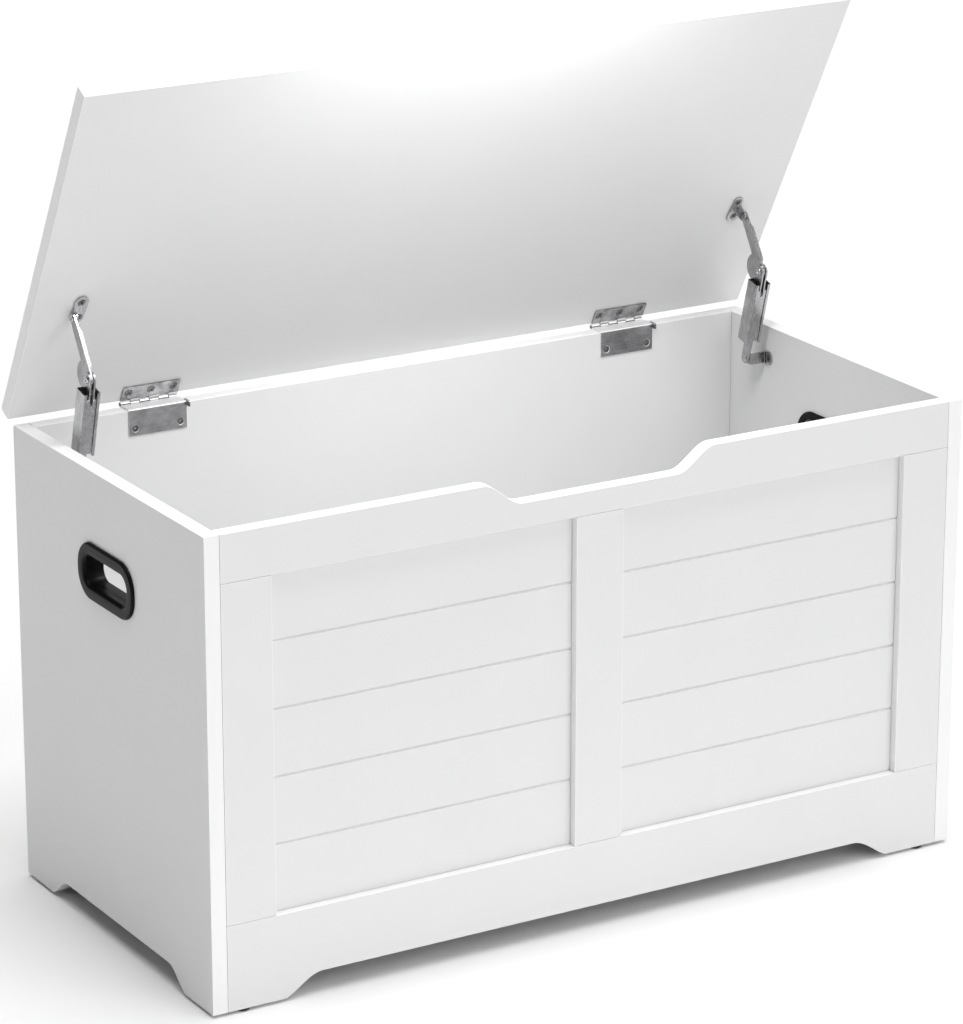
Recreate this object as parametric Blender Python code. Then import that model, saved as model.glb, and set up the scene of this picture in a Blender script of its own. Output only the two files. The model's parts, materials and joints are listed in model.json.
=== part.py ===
"""Toy chest: a board box with a hinged lid held by two folding spring stays.

Units are metres and +Z is up.  The front faces -Y.  The lid stands open at rest, and the origin lies
on the floor plane under the middle of the whole outline.  The parts are drawn with the front's outer
face at Y = 0 and a root empty then carries them back to that origin.
"""
import math

import bmesh
import bpy
from mathutils import Vector

# Driving sizes of the box
BODY_WIDTH = 0.800
BODY_DEPTH = 0.380
BODY_HEIGHT = 0.445
BOARD = 0.015
GAP = 0.0003
GLIDE_HEIGHT = 0.003
GLIDE_RADIUS = 0.007
GLIDE_INSET = 0.033
GLIDE_EASE = 0.0009

# Front frame
RAIL_HEIGHT = 0.045
KICK_HEIGHT = 0.082
STILE_WIDTH = 0.050
PANEL_BOARD = 0.007
GROOVES_PER_PANEL = 4
GROOVE_WIDTH = 0.0032
GROOVE_DEPTH = 0.0016

# Scallops and finger notch
ARCH_HEIGHT = 0.019
FRONT_FOOT = 0.058
FRONT_ARCH_RUN = 0.038
SIDE_FOOT = 0.055
SIDE_ARCH_RUN = 0.032
ARCH_START = 0.20
NOTCH_DEPTH = 0.022
NOTCH_HALF_FLAT = 0.081
NOTCH_RUN = 0.042
CURVE_STEPS = 8

# Bottom board
BOTTOM_BOARD = 0.012
BOTTOM_HEIGHT = 0.040

# Lid
LID_SIDE_OVERHANG = 0.004
LID_DEPTH = 0.385
LID_OPEN = math.radians(61.7)

# Butt hinges
HINGE_X = 0.2592
HINGE_WIDTH = 0.060
KNUCKLES = 6
LEAF = 0.0010
KNUCKLE_RADIUS = 0.0028
PIN_RADIUS = 0.0015
PIN_STICK_OUT = 0.0006
LEAF_TO_KNUCKLE = 0.0006
FLAP_HEIGHT = 0.0245
LID_LEAF_REACH = 0.0176
BEND_RADIUS = 0.0016
EAR_AHEAD = 0.0055
EAR_BEHIND = 0.0056
EAR_BELOW_RIM = 0.0035
EAR_ABOVE_RIM = 0.0024
EAR_ROOT = 0.003
LEAF_SCREW_SPREAD = 0.0235
LID_SCREW_FROM_EDGE = 0.0105
FLAP_SCREW_DROP = 0.0175

# Countersunk screws
SCREW_HEAD_RADIUS = 0.0032
SCREW_SHANK_RADIUS = 0.0015
SCREW_CONE = 0.0017
SCREW_LENGTH = 0.0105
SCREW_RIM = 0.0004
SCREW_TIP = 0.0020
SCREW_SIDES = 8

# Handles
HANDLE_HEIGHT = 0.350
HANDLE_LENGTH = 0.110
HANDLE_TALL = 0.054
HANDLE_CORNER = 0.025
FLANGE_BAND = 0.0125
FLANGE_PROUD = 0.0030
THROAT_WALL = 0.0020
THROAT_TAPER = 0.0030
HANDLE_SLEEVE_INSET = 0.0085
HANDLE_ROUND = 0.0015
HANDLE_STEPS = 4

# Lid stays
STAY_X = 0.3655
STAY_LOW_Y = 0.3110
STAY_LOW_Z = 0.4158
ELBOW_Y = 0.2860
ELBOW_Z = 0.5105
STAY_LID_REACH = 0.1255
STAY_LID_DROP = 0.0068
PLATE = 0.0016
ARM_PLATE = 0.0020
ARM_WIDTH = 0.011
ARM_NECK = 0.012
ARM_EYE_RADIUS = 0.0044
CAM_RADIUS = 0.0138
CAM_OUT_Y = 0.0080
CAM_OUT_Z = 0.0065
CAM_ARC = (100, -121)
BOSS_ARC = (-83, -180)
CAM_REACH = 0.0244
FOLD_WIDTH = 0.0029
FOLD_THICK = 0.0012
FOLD_START = 0.008
FOLD_END = 0.012
BAR_EAR_RADIUS = 0.0067
BAR_EAR_START = 0.0240
BAR_WEB_FRONT = 0.0074
BAR_WEB_HALF = 0.0048
BAR_PRONG_END = 0.0180
BAR_START = 0.023
TONGUE_SHOULDER = 0.021
TONGUE_END = 0.027
EAR_SPACING = 0.0058
EYE_RADIUS = 0.0056
RIVET_RADIUS = 0.0021
RIVET_HOLE = 0.0025
RIVET_HEAD = 0.0036
RIVET_HEAD_THICK = 0.0010
HOUSING_WIDTH = 0.0172
HOUSING_DEEP = 0.0160
HOUSING_WALL = 0.0010
HOUSING_START = 0.021
HOUSING_END_BELOW_ELBOW = 0.0115
HOUSING_SLOT = 0.0102
HOUSING_NOTCH_WIDTH = 0.0045
HOUSING_NOTCH = 0.0125
BRACKET_FRONT = 0.0081
BRACKET_TAB_NEAR = 0.009
BRACKET_TAB_FAR = 0.011
BRACKET_SCREW_IN = 0.006
LID_PLATE_LENGTH = 0.031
LID_PLATE_WIDE = 0.0072
LID_PLATE_NARROW = 0.0052
LID_PLATE_INBOARD = 0.0085
LID_PLATE_FORWARD = 0.004
LID_PLATE_SCREW = 0.0083
FOLLOWER_HEIGHT = 0.008
FOLLOWER_SIDE_GAP = 0.0004
FOLLOWER_HALF = 0.0050
CUTTER_REACH = 0.020
SPRING_RADIUS = 0.0023
SPRING_WIRE = 0.0006
SPRING_TURNS = 7

# Looks: colour, roughness, metallic
WHITE_LAMINATE = ((0.86, 0.86, 0.86), 0.45, 0.0)
BLACK_PLASTIC = ((0.02, 0.02, 0.02), 0.40, 0.0)
NICKEL_STEEL = ((0.72, 0.72, 0.73), 0.22, 1.0)
SPRING_STEEL = ((0.35, 0.35, 0.36), 0.35, 1.0)
WHITE_NYLON = ((0.80, 0.80, 0.78), 0.50, 0.0)

# Places that follow from the sizes above
HALF_WIDTH = BODY_WIDTH / 2
INNER_HALF = HALF_WIDTH - BOARD
FLOOR = GLIDE_HEIGHT
RIM = FLOOR + BODY_HEIGHT
LID_GAP = 3 * GAP + 2 * LEAF
LID_UNDER = RIM + LID_GAP
HINGE_Y = BODY_DEPTH + GAP + KNUCKLE_RADIUS + 0.0002
HINGE_Z = RIM + LID_GAP / 2
LID_REAR_CORNER_Y = (
    HINGE_Y
    + (BODY_DEPTH - HINGE_Y) * math.cos(LID_OPEN)
    + (LID_UNDER + BOARD - HINGE_Z) * math.sin(LID_OPEN)
)


# ---------------------------------------------------------------- helpers
def clear_scene():
    """Remove every object, so the model starts from nothing."""
    for item in list(bpy.data.objects):
        bpy.data.objects.remove(item, do_unlink=True)


def make_material(name, look):
    """Return a Principled BSDF material from a colour, a roughness and a metallic value."""
    colour, roughness, metallic = look
    material = bpy.data.materials.new(name)
    material.use_nodes = True
    shader = material.node_tree.nodes["Principled BSDF"]
    shader.inputs["Base Color"].default_value = (*colour, 1.0)
    shader.inputs["Roughness"].default_value = roughness
    shader.inputs["Metallic"].default_value = metallic
    return material


def axis_point(plane, a, b, c):
    """Map outline coordinates a, b and depth c to X, Y, Z for one of the three planes."""
    if plane == "XZ":
        return Vector((a, c, b))
    if plane == "YZ":
        return Vector((c, a, b))
    return Vector((a, b, c))


def add_prism(bm, outline, plane, start, end):
    """Extrude a closed outline drawn in the plane from depth start to depth end."""
    ring = [bm.verts.new(axis_point(plane, a, b, start)) for a, b in outline]
    cap = bm.faces.new(ring)
    grown = bmesh.ops.extrude_face_region(bm, geom=[cap])
    moved = [item for item in grown["geom"] if isinstance(item, bmesh.types.BMVert)]
    shift = axis_point(plane, 0, 0, end) - axis_point(plane, 0, 0, start)
    bmesh.ops.translate(bm, verts=moved, vec=shift)


def add_box(bm, low, high):
    """Add a box between two corners."""
    outline = [(low[0], low[1]), (high[0], low[1]), (high[0], high[1]), (low[0], high[1])]
    add_prism(bm, outline, "XY", low[2], high[2])


def arc(centre, radius, start, end, steps):
    """Points on an arc, angles in degrees, both ends included."""
    points = []
    for step in range(steps + 1):
        angle = math.radians(start + (end - start) * step / steps)
        points.append((centre[0] + radius * math.cos(angle), centre[1] + radius * math.sin(angle)))
    return points


def circle(centre, radius, sides):
    """Points of a full circle."""
    return arc(centre, radius, 0, 360, sides)[:-1]


def rounded_rectangle(centre, length, height, corner, steps):
    """Outline of a rectangle with round corners, counter-clockwise."""
    across = length / 2 - corner
    up = height / 2 - corner
    points = []
    for index, (side, level) in enumerate(((1, 1), (-1, 1), (-1, -1), (1, -1))):
        middle = (centre[0] + side * across, centre[1] + level * up)
        points += arc(middle, corner, index * 90, index * 90 + 90, steps)
    return points


def scallop(start, end, height, soften):
    """Points of a smooth rise from the foot at start to the arch top at end."""
    points = []
    for step in range(CURVE_STEPS + 1):
        share = step / CURVE_STEPS
        phase = soften + (1 - soften) * share
        rise = (math.cos(math.pi * soften) - math.cos(math.pi * phase)) / (math.cos(math.pi * soften) + 1)
        points.append((start + (end - start) * share, height * rise))
    return points


def finish(name, bm, look, parent=None, location=(0, 0, 0)):
    """Turn a bmesh into a named object whose mesh is measured from its own origin."""
    bmesh.ops.recalc_face_normals(bm, faces=bm.faces[:])
    mesh = bpy.data.meshes.new(name)
    bm.to_mesh(mesh)
    bm.free()
    mesh.shade_smooth()
    mesh.set_sharp_from_angle(angle=math.radians(35))
    part = bpy.data.objects.new(name, mesh)
    bpy.context.collection.objects.link(part)
    part.location = location
    part.parent = parent
    if look is not None:
        mesh.materials.append(make_material(name, look))
    return part


def combine(part, tool, operation):
    """Join a hidden tool to a part or cut it away."""
    tool.hide_render = True
    tool.display_type = "WIRE"
    step = part.modifiers.new(operation.title(), "BOOLEAN")
    step.operation = operation
    step.solver = "EXACT"
    step.object = tool


def pivot(name, location, tilt=0.0):
    """An empty on a joint axis, turned about X by tilt."""
    empty = bpy.data.objects.new(name, None)
    bpy.context.collection.objects.link(empty)
    empty.location = location
    empty.rotation_euler = (tilt, 0, 0)
    return empty


def add_turned(bm, profile, base, direction, sides):
    """Turn a profile of (radius, height) pairs round an axis from base along direction."""
    axis = Vector(direction).normalized()
    side = axis.orthogonal().normalized()
    other = axis.cross(side)
    rings = []
    for radius, height in profile:
        centre = Vector(base) + axis * height
        ring = []
        for step in range(sides):
            angle = 2 * math.pi * step / sides
            spoke = side * math.cos(angle) + other * math.sin(angle)
            ring.append(bm.verts.new(centre + spoke * radius))
        rings.append(ring)
    bm.faces.new(rings[0])
    bm.faces.new(rings[-1])
    for lower, upper in zip(rings, rings[1:]):
        for step in range(sides):
            after = (step + 1) % sides
            bm.faces.new((lower[step], lower[after], upper[after], upper[step]))


# ---------------------------------------------------------------- screws
def screw_profile(grow):
    """Countersunk screw from its head face down to its tip; grow widens it for a hole."""
    head = SCREW_HEAD_RADIUS + grow
    shank = SCREW_SHANK_RADIUS + grow
    profile = [
        (head, 0.0),
        (head, -SCREW_RIM),
        (shank, -SCREW_CONE - grow),
        (shank, -SCREW_LENGTH - grow),
    ]
    if grow > 0:
        return [(head, SCREW_TIP)] + profile[1:]
    return profile[:-1] + [(shank, -SCREW_LENGTH + SCREW_TIP), (shank * 0.3, -SCREW_LENGTH)]


def make_screws(prefix, places, outward, parent, cut_parts):
    """Make one screw at each place, and cut its clearance hole through every listed part."""
    cutter_bm = bmesh.new()
    for index, place in enumerate(places, start=1):
        bm = bmesh.new()
        add_turned(bm, screw_profile(0), (0, 0, 0), outward, SCREW_SIDES)
        finish(f"{prefix}_screw_{index}", bm, NICKEL_STEEL, parent, place)
        add_turned(cutter_bm, screw_profile(GAP), place, outward, SCREW_SIDES)
    cutter = finish(f"{prefix}_screw_holes", cutter_bm, None, parent)
    for part in cut_parts:
        combine(part, cutter, "DIFFERENCE")


# ---------------------------------------------------------------- boards
def make_side_panel(side):
    """Full-height side with a scalloped foot line and a slot for the handle."""
    bm = bmesh.new()
    front = scallop(SIDE_FOOT, SIDE_FOOT + SIDE_ARCH_RUN, ARCH_HEIGHT, ARCH_START)
    back = [(BODY_DEPTH - y, z) for y, z in reversed(front)]
    outline = [(0, 0)] + front + back + [(BODY_DEPTH, 0), (BODY_DEPTH, BODY_HEIGHT), (0, BODY_HEIGHT)]
    inner = -HALF_WIDTH if side == "left" else INNER_HALF
    add_prism(bm, outline, "YZ", inner, inner + BOARD)
    panel = finish(f"{side}_side_panel", bm, WHITE_LAMINATE, None, (0, 0, FLOOR))

    slot_bm = bmesh.new()
    shape = handle_outline(HANDLE_SLEEVE_INSET - GAP)
    add_prism(slot_bm, shape, "YZ", inner - BOARD, inner + 2 * BOARD)
    slot = finish(f"{side}_handle_slot", slot_bm, None, None, (0, 0, FLOOR))
    combine(panel, slot, "DIFFERENCE")
    return panel


def make_back_panel():
    """Plain back board between the sides."""
    bm = bmesh.new()
    reach = INNER_HALF - GAP
    add_box(bm, (-reach, BODY_DEPTH - BOARD, 0), (reach, BODY_DEPTH, BODY_HEIGHT))
    return finish("back_panel", bm, WHITE_LAMINATE, None, (0, 0, FLOOR))


def make_bottom_panel():
    """Floor of the chest, between the four walls."""
    bm = bmesh.new()
    reach = INNER_HALF - GAP
    low = (-reach, BOARD + GAP, 0)
    high = (reach, BODY_DEPTH - BOARD - GAP, BOTTOM_BOARD)
    add_box(bm, low, high)
    return finish("bottom_panel", bm, WHITE_LAMINATE, None, (0, 0, FLOOR + BOTTOM_HEIGHT))


def make_top_rail():
    """Front top rail with the shallow finger notch."""
    bm = bmesh.new()
    reach = INNER_HALF - GAP
    top = RAIL_HEIGHT
    outer = NOTCH_HALF_FLAT + NOTCH_RUN
    right = [(x, top - NOTCH_DEPTH + z) for x, z in scallop(NOTCH_HALF_FLAT, outer, NOTCH_DEPTH, 0.0)]
    left = [(-x, z) for x, z in right]
    outline = [(-reach, 0), (reach, 0), (reach, top)] + right[::-1] + left + [(-reach, top)]
    add_prism(bm, outline, "XZ", 0, BOARD)
    return finish("top_rail", bm, WHITE_LAMINATE, None, (0, 0, RIM - RAIL_HEIGHT))


def make_bottom_rail():
    """Front bottom rail with the scalloped arch between its feet."""
    bm = bmesh.new()
    reach = INNER_HALF - GAP
    foot = reach - FRONT_FOOT
    left = [(-x, z) for x, z in scallop(foot, foot - FRONT_ARCH_RUN, ARCH_HEIGHT, ARCH_START)]
    right = [(-x, z) for x, z in reversed(left)]
    top = KICK_HEIGHT
    outline = [(-reach, 0)] + left + right + [(reach, 0), (reach, top), (-reach, top)]
    add_prism(bm, outline, "XZ", 0, BOARD)
    return finish("bottom_rail", bm, WHITE_LAMINATE, None, (0, 0, FLOOR))


def make_stiles_and_panels():
    """Three uprights with two recessed grooved boards between them."""
    height = BODY_HEIGHT - RAIL_HEIGHT - KICK_HEIGHT - 2 * GAP
    base = FLOOR + KICK_HEIGHT + GAP
    reach = INNER_HALF - GAP
    spans = {
        "left_stile": (-reach, -INNER_HALF + STILE_WIDTH),
        "centre_stile": (-STILE_WIDTH / 2, STILE_WIDTH / 2),
        "right_stile": (INNER_HALF - STILE_WIDTH, reach),
    }
    for name, (start, end) in spans.items():
        bm = bmesh.new()
        add_box(bm, (start, 0, 0), (end, BOARD, height))
        finish(name, bm, WHITE_LAMINATE, None, (0, 0, base))
    profile = grooved_profile(height)
    for name, start, end in (
        ("left_grooved_panel", "left_stile", "centre_stile"),
        ("right_grooved_panel", "centre_stile", "right_stile"),
    ):
        bm = bmesh.new()
        add_prism(bm, profile, "YZ", spans[start][1] + GAP, spans[end][0] - GAP)
        finish(name, bm, WHITE_LAMINATE, None, (0, BOARD - PANEL_BOARD, base))


def grooved_profile(height):
    """Section of a thin board whose front face carries evenly spaced V grooves."""
    pitch = height / (GROOVES_PER_PANEL + 1)
    front = [(0, 0)]
    for index in range(1, GROOVES_PER_PANEL + 1):
        level = pitch * index
        front += [(0, level - GROOVE_WIDTH / 2), (GROOVE_DEPTH, level), (0, level + GROOVE_WIDTH / 2)]
    return front + [(0, height), (PANEL_BOARD, height), (PANEL_BOARD, 0)]


def make_glides():
    """Four floor glides, under the front rail and the back panel near the corners."""
    for side, sign in (("left", -1), ("right", 1)):
        for end, depth in (("front", BOARD / 2), ("back", BODY_DEPTH - BOARD / 2)):
            bm = bmesh.new()
            top = GLIDE_HEIGHT - GAP
            profile = [(GLIDE_RADIUS - GLIDE_EASE, 0), (GLIDE_RADIUS, GLIDE_EASE), (GLIDE_RADIUS, top)]
            add_turned(bm, profile, (0, 0, 0), (0, 0, 1), 12)
            place = (sign * (HALF_WIDTH - GLIDE_INSET), depth, 0)
            finish(f"{end}_{side}_glide", bm, BLACK_PLASTIC, None, place)


def make_lid(lid_axis):
    """Flat lid, drawn closed and carried by the hinge axis."""
    bm = bmesh.new()
    reach = HALF_WIDTH + LID_SIDE_OVERHANG
    rear = BODY_DEPTH - HINGE_Y
    under = LID_UNDER - HINGE_Z
    add_box(bm, (-reach, rear - LID_DEPTH, under), (reach, rear, under + BOARD))
    return finish("lid", bm, WHITE_LAMINATE, lid_axis)


# ---------------------------------------------------------------- handles
def handle_outline(inset):
    """Outline of the handle, drawn in by inset, in the plane of the side panel."""
    centre = (BODY_DEPTH / 2, HANDLE_HEIGHT)
    corner = max(HANDLE_CORNER - inset, 0.004)
    length = HANDLE_LENGTH - 2 * inset
    return rounded_rectangle(centre, length, HANDLE_TALL - 2 * inset, corner, HANDLE_STEPS)


def add_ring_of_loops(bm, loops):
    """Skin a closed chain of loops into a ring-shaped solid."""
    rings = [[bm.verts.new((x, y, z)) for y, z in outline] for x, outline in loops]
    for lower, upper in zip(rings, rings[1:] + rings[:1]):
        for step, vertex in enumerate(lower):
            after = (step + 1) % len(lower)
            bm.faces.new((vertex, lower[after], upper[after], upper[step]))


def make_handle(side):
    """Outer handle shell with its funnel throat, and the ring that backs it inside."""
    sign = -1 if side == "left" else 1
    outer_face = sign * (HALF_WIDTH + GAP)
    inner_face = sign * (INNER_HALF - GAP)
    proud = sign * FLANGE_PROUD
    throat_end = inner_face - proud * 0.6
    sleeve = HANDLE_SLEEVE_INSET
    throat = sleeve + THROAT_WALL + THROAT_TAPER

    bm = bmesh.new()
    add_ring_of_loops(bm, [
        (outer_face, handle_outline(0)),
        (outer_face + proud * 0.5, handle_outline(0)),
        (outer_face + proud, handle_outline(HANDLE_ROUND)),
        (outer_face + proud * 0.8, handle_outline(FLANGE_BAND - 0.001)),
        (outer_face, handle_outline(FLANGE_BAND)),
        (throat_end, handle_outline(throat)),
        (throat_end, handle_outline(sleeve + 0.0012)),
        (outer_face, handle_outline(sleeve)),
    ])
    finish(f"{side}_handle_shell", bm, BLACK_PLASTIC, None, (0, 0, FLOOR))

    bm = bmesh.new()
    bore = handle_outline(sleeve - 0.0008)
    add_ring_of_loops(bm, [
        (inner_face, handle_outline(0)),
        (inner_face - proud * 0.5, handle_outline(0)),
        (inner_face - proud * 0.85, handle_outline(HANDLE_ROUND)),
        (inner_face - proud * 0.85, bore),
        (inner_face, bore),
    ])
    finish(f"{side}_handle_ring", bm, BLACK_PLASTIC, None, (0, 0, FLOOR))


# ---------------------------------------------------------------- hinges
def curl_outline(level):
    """Leaf strip and its rolled knuckle in the YZ plane, the pin centre at zero, leaf below centre."""
    inner = PIN_RADIUS + GAP
    root = HINGE_Y - BODY_DEPTH + 0.002
    lower = level - LEAF
    outer_start = 180 + math.degrees(math.asin(-lower / KNUCKLE_RADIUS))
    inner_start = 180 + math.degrees(math.asin(-level / inner))
    outer = arc((0, 0), KNUCKLE_RADIUS, outer_start, 516, 12)
    bore = arc((0, 0), inner, 516, inner_start, 12)
    return [(-root, lower)] + outer + bore + [(-root, level)]


def add_knuckles(bm, first, level_sign, width_offset):
    """Every second knuckle, starting with the one numbered first; level_sign -1 puts the leaf below."""
    pitch = HINGE_WIDTH / KNUCKLES
    outline = [(y, -level_sign * z) for y, z in curl_outline(-GAP / 2)]
    for index in range(first, KNUCKLES, 2):
        start = width_offset + index * pitch
        add_prism(bm, outline, "YZ", start + GAP / 2, start + pitch - GAP / 2)


def make_body_leaf(side, centre):
    """Leaf bent over the back panel: inner flap, rim strip, three knuckles and one end ear."""
    start = centre - HINGE_WIDTH / 2
    end = centre + HINGE_WIDTH / 2
    top = -GAP / 2
    inner = BODY_DEPTH - BOARD - GAP - HINGE_Y
    outer = inner - LEAF
    bend = (outer + BEND_RADIUS, top - BEND_RADIUS)
    strip_end = BODY_DEPTH - HINGE_Y - LEAF_TO_KNUCKLE
    drop = RIM - FLAP_HEIGHT - HINGE_Z
    outline = [(strip_end, top), *arc(bend, BEND_RADIUS, 90, 180, 4), (outer, drop), (inner, drop)]
    outline += [(inner, top - LEAF), (strip_end, top - LEAF)]
    bm = bmesh.new()
    add_prism(bm, outline, "YZ", start, end)
    leaf = finish(f"{side}_hinge_body_leaf", bm, NICKEL_STEEL, None, (0, HINGE_Y, HINGE_Z))

    extra = bmesh.new()
    add_knuckles(extra, 0, -1, start)
    near = end + GAP
    back = outer + EAR_BEHIND
    root_low = (end - LEAF, back - EAR_ROOT, top - LEAF + GAP / 2)
    add_box(extra, root_low, (near + LEAF / 2, back - GAP, top - GAP / 2))
    joined = finish(f"{side}_body_leaf_extras", extra, None, None, (0, HINGE_Y, HINGE_Z))
    combine(leaf, joined, "UNION")

    ear = bmesh.new()
    low = RIM - EAR_BELOW_RIM - HINGE_Z
    high = RIM + EAR_ABOVE_RIM - HINGE_Z
    front = outer - EAR_AHEAD
    outline = [(front, low), (inner, low), (inner, top - LEAF), (back, top - LEAF), (back, high)]
    outline += [(front, high)]
    add_prism(ear, outline, "YZ", near, near + LEAF)
    joined = finish(f"{side}_body_leaf_ear", ear, None, None, (0, HINGE_Y, HINGE_Z))
    combine(leaf, joined, "UNION")
    return leaf


def make_lid_leaf(side, centre, lid_axis):
    """Flat leaf under the lid with its three knuckles."""
    start = centre - HINGE_WIDTH / 2
    end = centre + HINGE_WIDTH / 2
    low = GAP / 2
    strip_end = BODY_DEPTH - HINGE_Y - LEAF_TO_KNUCKLE
    reach = BODY_DEPTH - LID_LEAF_REACH - HINGE_Y
    bm = bmesh.new()
    add_box(bm, (start, reach, low), (end, strip_end, low + LEAF))
    leaf = finish(f"{side}_hinge_lid_leaf", bm, NICKEL_STEEL, lid_axis)

    extra = bmesh.new()
    add_knuckles(extra, 1, 1, start)
    joined = finish(f"{side}_lid_leaf_extras", extra, None, lid_axis)
    combine(leaf, joined, "UNION")
    return leaf


def make_hinge(side, lid_axis, back, lid):
    """One butt hinge: two leaves, a pin and five screws."""
    centre = -HINGE_X if side == "left" else HINGE_X
    body_leaf = make_body_leaf(side, centre)
    lid_leaf = make_lid_leaf(side, centre, lid_axis)

    bm = bmesh.new()
    half = HINGE_WIDTH / 2 + PIN_STICK_OUT
    add_turned(bm, [(PIN_RADIUS, -half), (PIN_RADIUS, half)], (0, 0, 0), (1, 0, 0), 12)
    finish(f"{side}_hinge_pin", bm, NICKEL_STEEL, None, (centre, HINGE_Y, HINGE_Z))

    lid_y = BODY_DEPTH - LID_SCREW_FROM_EDGE - HINGE_Y
    lid_z = LID_UNDER - GAP - LEAF - HINGE_Z
    places = [(centre + step * LEAF_SCREW_SPREAD, lid_y, lid_z) for step in (-1, 0, 1)]
    make_screws(f"{side}_lid_leaf", places, (0, 0, -1), lid_axis, [lid_leaf, lid])

    flap_y = BODY_DEPTH - BOARD - GAP - LEAF
    places = [(centre + step * LEAF_SCREW_SPREAD, flap_y, RIM - FLAP_SCREW_DROP) for step in (-1, 1)]
    make_screws(f"{side}_body_leaf", places, (0, -1, 0), None, [body_leaf, back])


# ---------------------------------------------------------------- lid stays
def eyed_strip(low, high, low_radius, high_radius, steps=6):
    """Outline of a strip with a round eye at each end, along +Z in the YZ plane."""
    return arc((0, low), low_radius, 180, 360, steps) + arc((0, high), high_radius, 0, 180, steps)


def stay_places(sign):
    """Joint points of one stay and the tilt of its housing and arm."""
    low = Vector((sign * STAY_X, STAY_LOW_Y, STAY_LOW_Z))
    elbow = Vector((sign * STAY_X, ELBOW_Y, ELBOW_Z))
    reach = BODY_DEPTH - STAY_LID_REACH - HINGE_Y
    drop = LID_UNDER - STAY_LID_DROP - HINGE_Z
    turn = -LID_OPEN
    top_y = HINGE_Y + reach * math.cos(turn) - drop * math.sin(turn)
    top_z = HINGE_Z + reach * math.sin(turn) + drop * math.cos(turn)
    top = Vector((sign * STAY_X, top_y, top_z))
    return low, elbow, top


def tilt_towards(start, end):
    """Turn about X that leans +Z from start towards end."""
    return math.atan2(-(end.y - start.y), end.z - start.z)


def add_rivet(side, name, span, parent, at_length=0.0):
    """A rivet along X through the pivot, a head at each end of span."""
    low, high = span
    head = RIVET_HEAD_THICK
    bm = bmesh.new()
    profile = [
        (RIVET_HEAD * 0.7, low - head), (RIVET_HEAD, low - head * 0.4), (RIVET_HEAD, low),
        (RIVET_RADIUS, low), (RIVET_RADIUS, high),
        (RIVET_HEAD, high), (RIVET_HEAD, high + head * 0.4), (RIVET_HEAD * 0.7, high + head),
    ]
    add_turned(bm, profile, (0, 0, 0), (1, 0, 0), 10)
    finish(f"{side}_stay_{name}_rivet", bm, NICKEL_STEEL, parent, (0, 0, at_length))


def add_top_rivet(side, sign, parent, at_length):
    """Rivet fixed in the arm's eye: headed on the outer side, flush towards the lid bracket's ear."""
    flush = -ARM_PLATE / 2
    face = ARM_PLATE / 2 + GAP
    profile = [
        (RIVET_RADIUS, flush), (RIVET_RADIUS, face), (RIVET_HEAD, face),
        (RIVET_HEAD, face + RIVET_HEAD_THICK * 0.4), (RIVET_HEAD * 0.7, face + RIVET_HEAD_THICK),
    ]
    bm = bmesh.new()
    add_turned(bm, profile, (0, 0, 0), (sign, 0, 0), 10)
    finish(f"{side}_stay_top_rivet", bm, NICKEL_STEEL, parent, (0, 0, at_length))


def rivet_hole(name, parent, span, at_length=0.0):
    """Hidden cutter for a rivet's clearance hole."""
    bm = bmesh.new()
    add_turned(bm, [(RIVET_HOLE, span[0]), (RIVET_HOLE, span[1])], (0, 0, 0), (1, 0, 0), 10)
    return finish(f"{name}_hole", bm, None, parent, (0, 0, at_length))


def cut_eyes(part, axis, length):
    """Clearance holes for the rivets at both ends of a bar."""
    for place, end in ((0.0, "low"), (length, "high")):
        hole = rivet_hole(f"{part.name}_{end}", axis, (-CUTTER_REACH, CUTTER_REACH), place)
        combine(part, hole, "DIFFERENCE")


def make_side_bracket(side, sign, low):
    """Bracket on the side panel whose ear carries the stay's lower rivet."""
    wall = INNER_HALF - GAP - STAY_X
    ear = PLATE / 2 + GAP
    front = -BRACKET_FRONT
    tab_near = front + BRACKET_TAB_NEAR
    tab_far = front - BRACKET_TAB_FAR
    outline = [
        (ear, EYE_RADIUS), (ear + PLATE, EYE_RADIUS), (ear + PLATE, front + PLATE),
        (wall - PLATE, front + PLATE), (wall - PLATE, tab_near), (wall, tab_near),
        (wall, tab_far), (wall - PLATE, tab_far), (wall - PLATE, front), (ear, front),
    ]
    outline = [(sign * x, y) for x, y in outline]
    bm = bmesh.new()
    add_prism(bm, outline, "XY", -EYE_RADIUS, EYE_RADIUS)
    axis = pivot(f"{side}_side_bracket_point", low)
    bracket = finish(f"{side}_stay_side_bracket", bm, NICKEL_STEEL, axis)
    span = sorted((-sign * CUTTER_REACH, sign * (ear + 2 * PLATE)))
    combine(bracket, rivet_hole(f"{side}_side_bracket", axis, span), "DIFFERENCE")
    return bracket


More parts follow.
